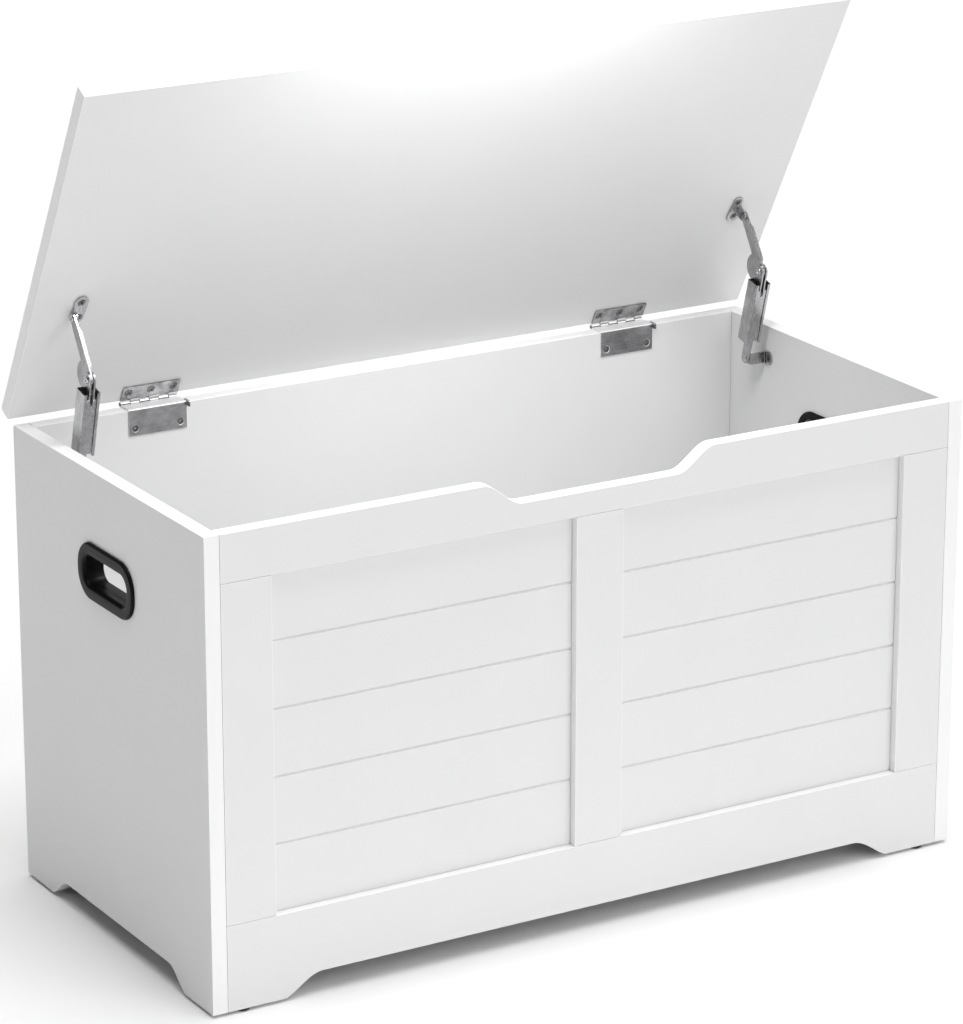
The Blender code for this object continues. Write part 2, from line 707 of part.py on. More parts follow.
def make_inner_bar(side, axis, length):
    """Bar inside the housing: a web down its front, two ears at the elbow, a tongue at the lower rivet."""
    far = EAR_SPACING / 2
    near = far - PLATE
    web_middle = PLATE / 2 - BAR_WEB_FRONT
    web_end = length - CAM_REACH - GAP
    prong_end = length - BAR_PRONG_END
    web = [
        (-BAR_WEB_HALF, BAR_START), (BAR_WEB_HALF, BAR_START), (BAR_WEB_HALF, prong_end),
        (near, prong_end), (near, web_end), (-near, web_end), (-near, prong_end),
        (-BAR_WEB_HALF, prong_end),
    ]
    bm = bmesh.new()
    add_prism(bm, web, "XZ", -BAR_WEB_FRONT, PLATE - BAR_WEB_FRONT)
    bar = finish(f"{side}_stay_inner_bar", bm, NICKEL_STEEL, axis)

    ears = bmesh.new()
    start = length - BAR_EAR_START
    outline = [(-BAR_EAR_RADIUS, start), (BAR_EAR_RADIUS, start)]
    outline += arc((0, length), BAR_EAR_RADIUS, 0, 180, 8)
    add_prism(ears, outline, "YZ", -far, -near)
    add_prism(ears, outline, "YZ", near, far)
    joined = finish(f"{side}_inner_bar_ears", ears, None, axis)
    combine(bar, joined, "UNION")

    tongue = bmesh.new()
    outline = arc((0, 0), EYE_RADIUS, 180, 360, 6)
    outline += [(EYE_RADIUS, TONGUE_END), (web_middle, TONGUE_END), (web_middle, TONGUE_SHOULDER)]
    add_prism(tongue, outline, "YZ", -PLATE / 2, PLATE / 2)
    joined = finish(f"{side}_inner_bar_tongue", tongue, None, axis)
    combine(bar, joined, "UNION")
    cut_eyes(bar, axis, length)
    return bar


def make_housing(side, axis, length):
    """Folded case round the inner bar, slotted down its front and notched behind for the folded arm."""
    half_w = HOUSING_WIDTH / 2
    half_d = HOUSING_DEEP / 2
    wall = HOUSING_WALL
    slot = HOUSING_SLOT / 2
    outline = [
        (-slot, -half_d), (-half_w, -half_d), (-half_w, half_d), (half_w, half_d), (half_w, -half_d),
        (slot, -half_d), (slot, -half_d + wall), (half_w - wall, -half_d + wall),
        (half_w - wall, half_d - wall), (-half_w + wall, half_d - wall),
        (-half_w + wall, -half_d + wall), (-slot, -half_d + wall),
    ]
    top = length - HOUSING_END_BELOW_ELBOW
    bm = bmesh.new()
    add_prism(bm, outline, "XY", HOUSING_START, top)
    housing = finish(f"{side}_stay_housing", bm, NICKEL_STEEL, axis)

    notch = bmesh.new()
    half = HOUSING_NOTCH_WIDTH / 2
    add_box(notch, (-half, half_d - 2 * wall, top - HOUSING_NOTCH), (half, half_d + wall, top + wall))
    cutter = finish(f"{side}_housing_notch", notch, None, axis)
    combine(housing, cutter, "DIFFERENCE")


def make_spring(side, axis, low, high):
    """Compression spring between the foot of the housing and the cam follower."""
    bm = bmesh.new()
    sides = 5
    steps = SPRING_TURNS * 8
    rings = []
    for step in range(steps + 1):
        share = step / steps
        turn = 2 * math.pi * SPRING_TURNS * share
        height = low + (high - low) * share
        ring = []
        for corner in range(sides):
            angle = 2 * math.pi * corner / sides
            radius = SPRING_RADIUS + SPRING_WIRE * math.cos(angle)
            rise = SPRING_WIRE * math.sin(angle)
            ring.append(bm.verts.new((radius * math.cos(turn), radius * math.sin(turn), height + rise)))
        rings.append(ring)
    bm.faces.new(rings[0])
    bm.faces.new(rings[-1])
    for lower, upper in zip(rings, rings[1:]):
        for corner in range(sides):
            after = (corner + 1) % sides
            bm.faces.new((lower[corner], lower[after], upper[after], upper[corner]))
    finish(f"{side}_stay_spring", bm, SPRING_STEEL, axis)


def make_cam_follower(side, axis, top):
    """Sliding block that the spring presses against the cam."""
    bm = bmesh.new()
    half = FOLLOWER_HALF
    front = PLATE - BAR_WEB_FRONT + FOLLOWER_SIDE_GAP
    back = HOUSING_DEEP / 2 - HOUSING_WALL - FOLLOWER_SIDE_GAP
    add_box(bm, (-half, front, top - FOLLOWER_HEIGHT), (half, back, top))
    finish(f"{side}_stay_cam_follower", bm, WHITE_NYLON, axis)


def make_arm(side, axis, length):
    """Flat arm: cam disc set behind the elbow, boss round it, eye on top and a folded front edge."""
    half = ARM_WIDTH / 2
    cam = arc((CAM_OUT_Y, CAM_OUT_Z), CAM_RADIUS, *CAM_ARC, 12)
    boss = arc((0, 0), half, *BOSS_ARC, 5)
    top = arc((0, length), ARM_EYE_RADIUS, 165, 10, 6)
    outline = cam + boss + [(-half, length - ARM_NECK)] + top
    bm = bmesh.new()
    add_prism(bm, outline, "YZ", -ARM_PLATE / 2, ARM_PLATE / 2)
    arm = finish(f"{side}_stay_arm", bm, NICKEL_STEEL, axis)

    fold = bmesh.new()
    low = (ARM_PLATE / 4, -half, FOLD_START)
    add_box(fold, low, (FOLD_WIDTH, -half + FOLD_THICK, length - FOLD_END))
    joined = finish(f"{side}_arm_fold", fold, None, axis)
    combine(arm, joined, "UNION")
    cut_eyes(arm, axis, length)
    return arm


def make_lid_bracket(side, sign, lid_axis):
    """Egg-shaped plate under the lid with a folded ear; one part serves both sides, turned end for end."""
    pivot_y = BODY_DEPTH - STAY_LID_REACH - HINGE_Y
    face = LID_UNDER - GAP - HINGE_Z
    ear_near = sign * (STAY_X - ARM_PLATE / 2 - GAP - PLATE)
    ear_far = sign * (STAY_X - ARM_PLATE / 2 - GAP)
    centre = (sign * (STAY_X - LID_PLATE_INBOARD), pivot_y - LID_PLATE_FORWARD)
    half = LID_PLATE_LENGTH / 2
    egg = eyed_strip(LID_PLATE_NARROW - half, half - LID_PLATE_WIDE, LID_PLATE_NARROW, LID_PLATE_WIDE)
    outline = [(centre[0] + x, centre[1] + sign * y) for x, y in egg]
    bm = bmesh.new()
    add_prism(bm, outline, "XY", face - PLATE, face)
    bracket = finish(f"{side}_stay_lid_bracket", bm, NICKEL_STEEL, lid_axis)

    ear = bmesh.new()
    drop = LID_UNDER - STAY_LID_DROP - HINGE_Z
    shape = arc((pivot_y, drop), EYE_RADIUS, 180, 360, 6) + [
        (pivot_y + EYE_RADIUS, face - PLATE / 2), (pivot_y - EYE_RADIUS, face - PLATE / 2)]
    add_prism(ear, shape, "YZ", *sorted((ear_near, ear_far)))
    joined = finish(f"{side}_lid_bracket_ear", ear, None, lid_axis)
    combine(bracket, joined, "UNION")

    hole = bmesh.new()
    profile = [(RIVET_HOLE, -2 * PLATE), (RIVET_HOLE, 2 * PLATE)]
    add_turned(hole, profile, ((ear_near + ear_far) / 2, pivot_y, drop), (1, 0, 0), 10)
    combine(bracket, finish(f"{side}_lid_bracket_hole", hole, None, lid_axis), "DIFFERENCE")
    screw = (centre[0], centre[1] + sign * LID_PLATE_SCREW, face - PLATE)
    return bracket, screw


def make_stay(side, lid_axis, panel, lid):
    """One folding lid stay with its brackets, rivets, spring and screws."""
    sign = -1 if side == "left" else 1
    low, elbow, top = stay_places(sign)
    bar_length = (elbow - low).length
    arm_length = (top - elbow).length
    bar_axis = pivot(f"{side}_stay_lower_axis", low, tilt_towards(low, elbow))
    arm_axis = pivot(f"{side}_stay_elbow_axis", elbow, tilt_towards(elbow, top))

    bracket = make_side_bracket(side, sign, low)
    make_inner_bar(side, bar_axis, bar_length)
    make_housing(side, bar_axis, bar_length)
    follower_top = bar_length - CAM_REACH
    spring_room = GAP + SPRING_WIRE
    make_spring(side, bar_axis, TONGUE_END + spring_room, follower_top - FOLLOWER_HEIGHT - spring_room)
    make_cam_follower(side, bar_axis, follower_top)
    make_arm(side, arm_axis, arm_length)
    lid_bracket, lid_screw = make_lid_bracket(side, sign, lid_axis)

    reach = EAR_SPACING / 2 + GAP
    add_rivet(side, "elbow", (-reach, reach), bar_axis, bar_length)
    inboard = PLATE / 2 + GAP
    add_rivet(side, "lower", sorted((-sign * inboard, sign * (inboard + PLATE + GAP))), bar_axis)
    add_top_rivet(side, sign, arm_axis, arm_length)

    make_screws(f"{side}_lid_bracket", [lid_screw], (0, 0, -1), lid_axis, [lid_bracket, lid])
    wall = sign * (INNER_HALF - GAP - PLATE)
    places = [(wall, low.y - BRACKET_FRONT - BRACKET_SCREW_IN, low.z)]
    make_screws(f"{side}_side_bracket", places, (-sign, 0, 0), None, [bracket, panel])


# ---------------------------------------------------------------- assembly
def carry_to_origin():
    """Hang every loose object on a root empty under the middle of the outline."""
    loose = [item for item in bpy.data.objects if item.parent is None]
    root = pivot("chest_root", (0, -LID_REAR_CORNER_Y / 2, 0))
    for item in loose:
        item.parent = root


def build():
    clear_scene()
    left_panel = make_side_panel("left")
    right_panel = make_side_panel("right")
    back = make_back_panel()
    make_bottom_panel()
    make_top_rail()
    make_bottom_rail()
    make_stiles_and_panels()
    make_glides()

    lid_axis = pivot("lid_axis", (0, HINGE_Y, HINGE_Z), -LID_OPEN)
    lid = make_lid(lid_axis)
    for side, panel in (("left", left_panel), ("right", right_panel)):
        make_handle(side)
        make_hinge(side, lid_axis, back, lid)
        make_stay(side, lid_axis, panel, lid)
    carry_to_origin()


build()
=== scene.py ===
"""Looks of the toy chest: eased boards, moulded handles, sheet-metal hinges and folding lid stays."""
import json
import math

import bmesh
import bpy
from mathutils import Matrix, Vector
from mathutils.geometry import tessellate_polygon


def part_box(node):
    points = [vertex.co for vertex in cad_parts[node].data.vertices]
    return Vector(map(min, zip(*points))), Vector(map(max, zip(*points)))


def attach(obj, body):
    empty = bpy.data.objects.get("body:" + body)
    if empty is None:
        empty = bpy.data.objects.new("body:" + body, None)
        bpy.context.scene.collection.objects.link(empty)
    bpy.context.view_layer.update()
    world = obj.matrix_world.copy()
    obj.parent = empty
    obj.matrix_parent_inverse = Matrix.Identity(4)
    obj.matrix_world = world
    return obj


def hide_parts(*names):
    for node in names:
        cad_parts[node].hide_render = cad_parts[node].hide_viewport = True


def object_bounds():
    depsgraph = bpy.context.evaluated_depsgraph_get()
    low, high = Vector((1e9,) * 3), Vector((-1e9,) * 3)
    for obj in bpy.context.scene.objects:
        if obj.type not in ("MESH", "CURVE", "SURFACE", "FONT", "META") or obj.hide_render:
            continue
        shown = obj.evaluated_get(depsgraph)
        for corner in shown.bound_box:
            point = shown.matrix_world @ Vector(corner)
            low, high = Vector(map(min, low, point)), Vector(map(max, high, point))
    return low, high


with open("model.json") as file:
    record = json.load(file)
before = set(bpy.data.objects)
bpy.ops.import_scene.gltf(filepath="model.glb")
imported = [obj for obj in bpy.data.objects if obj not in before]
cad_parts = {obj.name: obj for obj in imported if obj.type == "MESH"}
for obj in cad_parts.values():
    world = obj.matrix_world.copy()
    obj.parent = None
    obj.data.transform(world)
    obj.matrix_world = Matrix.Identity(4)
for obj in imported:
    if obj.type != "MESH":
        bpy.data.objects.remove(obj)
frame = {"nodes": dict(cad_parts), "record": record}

CAD_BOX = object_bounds()
SIDES = (("left", -1), ("right", 1))
JOINTS = {joint["name"]: joint for joint in frame["record"]["behaviour"]["joints"]}

# Boards
BOARD_EASE = 0.0006
ARCH_HEIGHT = 0.019
FRONT_FOOT = 0.058
FRONT_ARCH_RUN = 0.038
SIDE_FOOT = 0.055
SIDE_ARCH_RUN = 0.032
ARCH_START = 0.20
NOTCH_DEPTH = 0.022
NOTCH_HALF_FLAT = 0.081
NOTCH_RUN = 0.042
CURVE_STEPS = 26
GROOVES = 4
GROOVE_WIDTH = 0.0034
GROOVE_DEPTH = 0.0018

# Handles
SLEEVE_INSET = 0.0085
HANDLE_CORNER = 0.025
LEAST_CORNER = 0.004
FLANGE_BAND = 0.0125
FLANGE_EDGE = 0.0010
FLANGE_ROUND = 0.0022
FLANGE_CROWN = 0.0001
LIP_DIP = 0.0012
LIP_ROUND = 0.0034
LIP_STEP = 0.0002
THROAT_INSET = 0.0135
THROAT_BENDS = ((0.42, 0.01285), (0.45, 0.01325))
THROAT_END = 0.0005
THROAT_END_INSET = 0.01345
SLEEVE_TIP = 0.0012
RING_PROUD = 0.00255
RING_EDGE = 0.0008
RING_ROUND = 0.0020
RING_LIP = 0.0012
RING_INNER = SLEEVE_INSET - 0.0008
RING_INNER_ROUND = SLEEVE_INSET - 0.0024
HANDLE_STEPS = 12

# Sheet metal
LEAF = 0.0010
PLATE = 0.0016
METAL_EASE = 0.00018
KNUCKLES = 6
HINGE_WIDTH = 0.060
KNUCKLE_GAP = 0.0010
KNUCKLE_TAIL = 0.0012
KNUCKLE_END = 516
KNUCKLE_STEPS = 28
GAP = 0.0003
PIN_RADIUS = 0.0015
PIN_DOME = 0.0009
PIN_DOME_RISE = 0.0001
PIN_DOME_START = 0.0005
BEND_RADIUS = 0.0017
SEAM_CLEAR = 0.0002
STRIP_SHORT = 0.0006
FLAP_CORNER = 0.0008
LID_LEAF_CORNER = 0.0018
HINGE_EAR_AHEAD = 0.0055
HINGE_EAR_BEHIND = 0.0056
HINGE_EAR_BELOW = 0.0035
HINGE_EAR_ABOVE = 0.0024
HINGE_EAR_CORNER = 0.0015
HINGE_EAR_BACK_CORNER = 0.001
HINGE_EAR_ROOT = 0.003
EYE_RADIUS = 0.0056
CAM_CENTRE = (0.0080, 0.0065)
CAM_RADIUS = 0.0138
ARM_EYE = 0.0044
ARM_HALF = 0.0055
FOLD_START = 0.008
FOLD_THICK = 0.0012
RIVET_HOLE = 0.0025
BAR_EAR = 0.0067
EAR_NEAR = 0.0013
EGG_WIDE = 0.0072
EGG_NARROW = 0.0052
EGG_SCREW_IN = 0.0062
EGG_EASE = 0.0004
LID_EAR_REACH = 0.1255
LID_EAR_SINK = 0.0004
STAY_X = 0.3655
CASE_WALL = 0.0010
CASE_SLOT = 0.0051
CASE_BEND = 0.0011
CASE_EASE = 0.00014
NOTCH_REACH = 0.00225
NOTCH_BOTTOM = 0.0102
CUT_PAST = 0.002
BAR_START = 0.023
BAR_PRONG = 0.018
BAR_WEB_END = 0.0248
BAR_EASE = 0.0004
EAR_SHOULDER = 0.0205
EAR_START = 0.024
EAR_CHAMFER = 0.003
TONGUE_END = 0.027
TONGUE_SHOULDER = 0.021
TONGUE_CHAMFER = 0.001
SPRING_WIRE = 0.0006
SPRING_TURNS = 11
SPRING_STEPS = 20
WIRE_SIDES = 10
DEAD_TURNS = 0.06
FOLLOWER_BITE = 0.0006
FOLLOWER_EASE = 0.0003
CAM_ARC = (96, -121)
BOSS_ARC = (-83, -180)
EYE_ARC = (165, 10)
ARM_NECK = 0.012
NECK_STEP = 0.0007
NECK_POINTS = ((0.0054, 0.0245), (0.0056, 0.0222), (0.0061, 0.0207))
FOLD_ROOT = 0.3
FOLD_EASE = 1.4
FOLD_FOOT = ((0.0, 0.003), (0.0012, 0.0005))
FOLD_HEAD = ((0.0012, 0.0125), (0.0, 0.015))
BRACKET_FRONT = 0.0081
BRACKET_RETURN = 0.0035
BRACKET_BEND = 0.0014
TAB_LENGTH = 0.017
TAB_TALL = 0.0140
TAB_CORNER = 0.0055

# Screws and rivets, as (radius, height) tables
SCREW_HEAD = 0.0034
SCREW_SHANK = 0.0015
SCREW_TOP = ((0, 0.00005), (0.6, 0), (0.93, -0.0001), (1, -0.0003), (0.98, -0.0005))
SCREW_BODY = ((SCREW_SHANK, -0.0017), (SCREW_SHANK, -0.0085), (0.0005, -0.0105))
CROSS_HALF = 0.00055
CROSS_STEPS = ((0.0019, 0.0007), (0.0010, 0.0014))
CROSS_TOP = 0.001
SINK_CLEAR = 0.0006
SINK_PROFILE = ((0.0018, -0.0019), (0.0018, -0.012))
SINK_TOP = 0.002
SINK_RIM = 0.0002
RIVET_HEAD = (
    (0, 0.0006), (0.0012, 0.0006), (0.0016, 0.0001), (0.0022, 0), (0.0029, 0.00012), (0.0034, 0.0005),
    (0.0036, 0.0010))
RIVET_END = 0.0018
RIVET_SHANK = 0.0021

# Lights: strengths, directions, and widths in degrees or metres
WORLD_LIGHT = 0.10
TOP_LIGHT = 2.9
TOP_TOWARD = (-0.07, 0.05, -1.0)
TOP_SPREAD = 60
FRONT_LIGHT = 1.02
FRONT_TOWARD = (-0.25, 1.0, -0.55)
FRONT_SPREAD = 50
FILL_LIGHT = 1.35
FILL_TOWARD = (0.0, 0.24, -0.60)
FILL_SPREAD = 120
FILL_SIZE = (0.40, 0.08)
FILL_BEHIND_FRONT = 0.07
FILL_ABOVE_RIM = 0.50
FLOOR_HALF = 14.0
FLOOR_DROP = 0.0002

# Camera, in metres and degrees
CAMERA_AT = (-2.0423, -3.4165, 1.6559)
CAMERA_AZIMUTH = 30.7879
CAMERA_DOWN = 18.1912
CAMERA_LENS = 157.17


# ---------------------------------------------------------------- frames and measures
def tilt_matrix(place, start, end):
    """Frame at place whose +Z leans from start towards end in the YZ plane."""
    lean = math.atan2(-(end.y - start.y), end.z - start.z)
    return Matrix.Translation(place) @ Matrix.Rotation(lean, 4, "X")


def local_box(node, matrix):
    """Lowest and highest corner of a CAD node, measured in a turned frame."""
    inverse = matrix.inverted()
    item = frame["nodes"][node]
    points = [inverse @ (item.matrix_world @ vertex.co) for vertex in item.data.vertices]
    low = Vector([min(point[axis] for point in points) for axis in range(3)])
    high = Vector([max(point[axis] for point in points) for axis in range(3)])
    return low, high


def node_box(node):
    """Lowest and highest corner of a CAD node, as vectors in the row frame."""
    low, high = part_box(node)
    return Vector(low), Vector(high)


WORLD = Matrix.Identity(4)
LID_OPEN = math.radians(JOINTS["lid_hinge"]["range_deg"][1])
HINGE = Vector(JOINTS["lid_hinge"]["pos_m"])
LID_FRAME = Matrix.Translation(HINGE) @ Matrix.Rotation(-LID_OPEN, 4, "X")
LID_LOW, LID_HIGH = local_box("lid", LID_FRAME)
PANEL_LOW, PANEL_HIGH = node_box("left_side_panel")
FRONT = PANEL_LOW.y
BACK = PANEL_HIGH.y
FOOT = PANEL_LOW.z
RIM = PANEL_HIGH.z
HALF_WIDTH = -PANEL_LOW.x
INNER_HALF = -PANEL_HIGH.x
BOARD = HALF_WIDTH - INNER_HALF


# ---------------------------------------------------------------- shapes
def axis_point(plane, a, b, c):
    """Map outline coordinates a, b and depth c to X, Y, Z for one of the three planes."""
    if plane == "XZ":
        return Vector((a, c, b))
    if plane == "YZ":
        return Vector((c, a, b))
    return Vector((a, b, c))


def arc(centre, radius, start, end, steps):
    """Points on an arc, angles in degrees, both ends included."""
    points = []
    for step in range(steps + 1):
        angle = math.radians(start + (end - start) * step / steps)
        points.append((centre[0] + radius * math.cos(angle), centre[1] + radius * math.sin(angle)))
    return points


def rounded_rectangle(centre, length, height, corner, steps):
    """Outline of a rectangle with round corners, counter-clockwise."""
    across = length / 2 - corner
    up = height / 2 - corner
    points = []
    for index, (side, level) in enumerate(((1, 1), (-1, 1), (-1, -1), (1, -1))):
        middle = (centre[0] + side * across, centre[1] + level * up)
        points += arc(middle, corner, index * 90, index * 90 + 90, steps)
    return points


def scallop(start, end, height, soften):
    """Points of a smooth rise from the foot at start to the arch top at end."""
    points = []
    low = math.cos(math.pi * soften)
    for step in range(CURVE_STEPS + 1):
        share = step / CURVE_STEPS
        phase = soften + (1 - soften) * share
        points.append((start + (end - start) * share, height * (low - math.cos(math.pi * phase)) / (low + 1)))
    return points


def round_corners(points, radius, steps=5):
    """A path with every inner corner replaced by an arc of the radius."""
    path = [Vector(points[0])]
    for before, corner, after in zip(points, points[1:], points[2:]):
        corner = Vector(corner)
        back = (Vector(before) - corner).normalized()
        ahead = (Vector(after) - corner).normalized()
        half = back.angle(ahead) / 2
        reach = radius / math.tan(half)
        middle = corner + (back + ahead).normalized() * (radius / math.sin(half))
        start = corner + back * reach - middle
        turn = start.angle_signed(corner + ahead * reach - middle)
        for step in range(steps + 1):
            angle = -turn * step / steps
            spoke = Matrix.Rotation(angle, 2) @ start
            path.append(middle + spoke)
    path.append(Vector(points[-1]))
    return path


def sheet_outline(path, thickness):
    """Closed outline of a bent sheet whose middle follows the path."""
    path = [Vector(point) for point in path]
    left = []
    right = []
    for index, point in enumerate(path):
        ways = []
        if index > 0:
            ways.append((point - path[index - 1]).normalized())
        if index < len(path) - 1:
            ways.append((path[index + 1] - point).normalized())
        way = sum(ways, Vector((0, 0))).normalized()
        across = Vector((-way.y, way.x)) * (thickness / 2 / max(way.dot(ways[0]), 0.3))
        left.append(tuple(point + across))
        right.append(tuple(point - across))
    return left + right[::-1]


def add_plate(bm, outline, plane, start, end, holes=()):
    """Extrude an outline, with any holes, from depth start to depth end."""
    verts = [bm.verts.new(axis_point(plane, a, b, start)) for loop in (outline, *holes) for a, b in loop]
    if holes:
        loops = [[Vector((a, b, 0)) for a, b in loop] for loop in (outline, *holes)]
        caps = [bm.faces.new([verts[corner] for corner in face]) for face in tessellate_polygon(loops)]
    else:
        caps = [bm.faces.new(verts)]
    grown = bmesh.ops.extrude_face_region(bm, geom=caps)
    moved = [item for item in grown["geom"] if isinstance(item, bmesh.types.BMVert)]
    shift = axis_point(plane, 0, 0, end) - axis_point(plane, 0, 0, start)
    bmesh.ops.translate(bm, verts=moved, vec=shift)


def add_box(bm, low, high):
    """Add a box between two corners."""
    outline = [(low[0], low[1]), (high[0], low[1]), (high[0], high[1]), (low[0], high[1])]
    add_plate(bm, outline, "XY", low[2], high[2])


def add_turned(bm, profile, matrix, sides):
    """Turn (radius, height) pairs round the frame's Z axis; a zero radius closes to a point."""
    rings = []
    for radius, height in profile:
        if radius == 0:
            rings.append([bm.verts.new(matrix @ Vector((0, 0, height)))])
            continue
        ring = []
        for step in range(sides):
            angle = 2 * math.pi * step / sides
            place = Vector((radius * math.cos(angle), radius * math.sin(angle), height))
            ring.append(bm.verts.new(matrix @ place))
        rings.append(ring)
    for ring in (rings[0], rings[-1]):
        if len(ring) > 1:
            bm.faces.new(ring)
    for lower, upper in zip(rings, rings[1:]):
        for step in range(sides):
            after = (step + 1) % sides
            corners = [lower[step % len(lower)], lower[after % len(lower)]]
            corners += [upper[after % len(upper)], upper[step % len(upper)]]
            unique = list(dict.fromkeys(corners))
            bm.faces.new(unique)


def add_loops(bm, loops):
    """Skin a closed chain of equal loops of points into a ring-shaped solid."""
    rings = [[bm.verts.new(point) for point in loop] for loop in loops]
    for lower, upper in zip(rings, rings[1:] + rings[:1]):
        for step, vertex in enumerate(lower):
            after = (step + 1) % len(lower)
            bm.faces.new((vertex, lower[after], upper[after], upper[step]))


def settle(bm):
    """Point every face outwards."""
    bmesh.ops.recalc_face_normals(bm, faces=bm.faces[:])
    bm.normal_update()


def ease(bm, width, segments=2, sharper_than=32):
    """Round every edge that is sharper than the angle."""
    settle(bm)
    limit = math.radians(sharper_than)
    edges = [edge for edge in bm.edges if len(edge.link_faces) == 2 and edge.calc_face_angle() > limit]
    bmesh.ops.bevel(
        bm, geom=edges, offset=width, offset_type="OFFSET", segments=segments,
        profile=0.5, affect="EDGES", clamp_overlap=True,
    )


def carve(bm, tool, operation="DIFFERENCE"):
    """Cut the tool from the mesh, or join it, and return the result."""
    items = []
    for shape in (bm, tool):
        settle(shape)
        mesh = bpy.data.meshes.new("carving")
        shape.to_mesh(mesh)
        shape.free()
        item = bpy.data.objects.new("carving", mesh)
        bpy.context.collection.objects.link(item)
        items.append(item)
    step = items[0].modifiers.new("Carve", "BOOLEAN")
    step.operation = operation
    step.solver = "EXACT"
    step.object = items[1]
    graph = bpy.context.evaluated_depsgraph_get()
    result = bmesh.new()
    result.from_mesh(items[0].evaluated_get(graph).to_mesh())
    for item in items:
        mesh = item.data
        bpy.data.objects.remove(item, do_unlink=True)
        bpy.data.meshes.remove(mesh)
    return result


def finish(name, bm, materials, body, nodes=(), matrix=WORLD):
    """Turn a bmesh into a piece that rides on a body and stands for CAD nodes."""
    bm.transform(matrix)
    settle(bm)
    mesh = bpy.data.meshes.new(name)
    bm.to_mesh(mesh)
    bm.free()
    mesh.shade_smooth()
    mesh.set_sharp_from_angle(angle=math.radians(40))
    for material in materials:
        mesh.materials.append(material)
    piece = bpy.data.objects.new(name, mesh)
    bpy.context.collection.objects.link(piece)
    piece.modifiers.new("Normals", "WEIGHTED_NORMAL").keep_sharp = True
    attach(piece, body)
    if nodes:
        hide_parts(*nodes)
    return piece


# ---------------------------------------------------------------- materials
class Look:
    """A Principled BSDF material whose nodes are added one by one."""

    def __init__(self, name, **sockets):
        self.material = bpy.data.materials.new(name)
        self.material.use_nodes = True
        self.tree = self.material.node_tree
        self.shader = self.tree.nodes["Principled BSDF"]
        for socket, value in sockets.items():
            self.shader.inputs[socket.replace("_", " ")].default_value = value
        self.place = self.tree.nodes.new("ShaderNodeTexCoord").outputs["Object"]

    def add(self, kind, inputs=(), **settings):
        """Add a node; inputs are (socket, value or output) pairs."""
        node = self.tree.nodes.new(kind)
        for key, value in settings.items():
            setattr(node, key, value)
        for socket, value in inputs:
            if isinstance(value, bpy.types.NodeSocket):
                self.tree.links.new(value, node.inputs[socket])
            else:
                node.inputs[socket].default_value = value
        return node

    def noise(self, scale, detail=3.0, rough=0.55, stretch=None):
        """Noise value at a scale per metre, drawn out along an axis by stretch."""
        where = self.place
        if stretch is not None:
            where = self.add("ShaderNodeMapping", [("Vector", where), ("Scale", stretch)]).outputs["Vector"]
        inputs = [("Vector", where), ("Scale", scale), ("Detail", detail), ("Roughness", rough)]
        return self.add("ShaderNodeTexNoise", inputs).outputs["Fac"]

    def spread(self, value, low, high, start=0.3, end=0.7):
        """Map a value from start..end to low..high."""
        inputs = [("Value", value), ("From Min", start), ("From Max", end), ("To Min", low), ("To Max", high)]
        return self.add("ShaderNodeMapRange", inputs).outputs["Result"]

    def blend(self, factor, first, second):
        """Colour between two colours."""
        node = self.tree.nodes.new("ShaderNodeMix")
        node.data_type = "RGBA"
        self.tree.links.new(factor, node.inputs["Factor"])
        node.inputs["A"].default_value = (*first, 1.0)
        node.inputs["B"].default_value = (*second, 1.0)
        return node.outputs["Result"]

    def drive(self, socket, output):
        self.tree.links.new(output, self.shader.inputs[socket])

    def bump(self, *layers):
        """Stack of bumps, each (height, strength, distance)."""
        normal = None
        for height, strength, distance in layers:
            inputs = [("Height", height), ("Strength", strength), ("Distance", distance)]
            if normal is not None:
                inputs.append(("Normal", normal))
            normal = self.add("ShaderNodeBump", inputs).outputs["Normal"]
        self.drive("Normal", normal)


def laminate(name, first, second, rough_low, rough_high, grain):
    """White melamine: faint mottling, pearl-fine texture and slightly uneven sheen."""
    look = Look(name)
    mottle = look.noise(14, 4)
    fibre = look.noise(grain, 4, 0.6, (0.12, 1.0, 1.0))
    pearl = look.noise(2300, 2)
    look.drive("Base Color", look.blend(look.spread(mottle, 0, 1), first, second))
    look.drive("Roughness", look.spread(fibre, rough_low, rough_high))
    look.bump((pearl, 0.10, 0.0001), (fibre, 0.05, 0.0002))
    return look.material


def moulded(name, first, second, rough_low, rough_high, shine):
    """Black moulded plastic with a fine spark-eroded grain."""
    look = Look(name, Specular_IOR_Level=shine)
    grain = look.noise(2600, 3, 0.7)
    cloud = look.noise(60, 3)
    look.drive("Base Color", look.blend(look.spread(cloud, 0, 1), first, second))
    look.drive("Roughness", look.spread(grain, rough_low, rough_high))
    look.bump((grain, 0.22, 0.00012), (cloud, 0.05, 0.0006))
    return look.material


def plated(name, dark, bright, rough_low, rough_high, stretch, metal=1.0):
    """Plated steel: cloudy plating, fine rolling lines and small dents."""
    look = Look(name, Metallic=metal)
    cloud = look.noise(95, 5, 0.6)
    lines = look.noise(900, 3, 0.6, stretch)
    pits = look.noise(1500, 2)
    look.drive("Base Color", look.blend(look.spread(cloud, 0, 1), dark, bright))
    look.drive("Roughness", look.spread(lines, rough_low, rough_high))
    look.bump((lines, 0.05, 0.00006), (pits, 0.05, 0.00006), (cloud, 0.07, 0.0005))
    return look.material


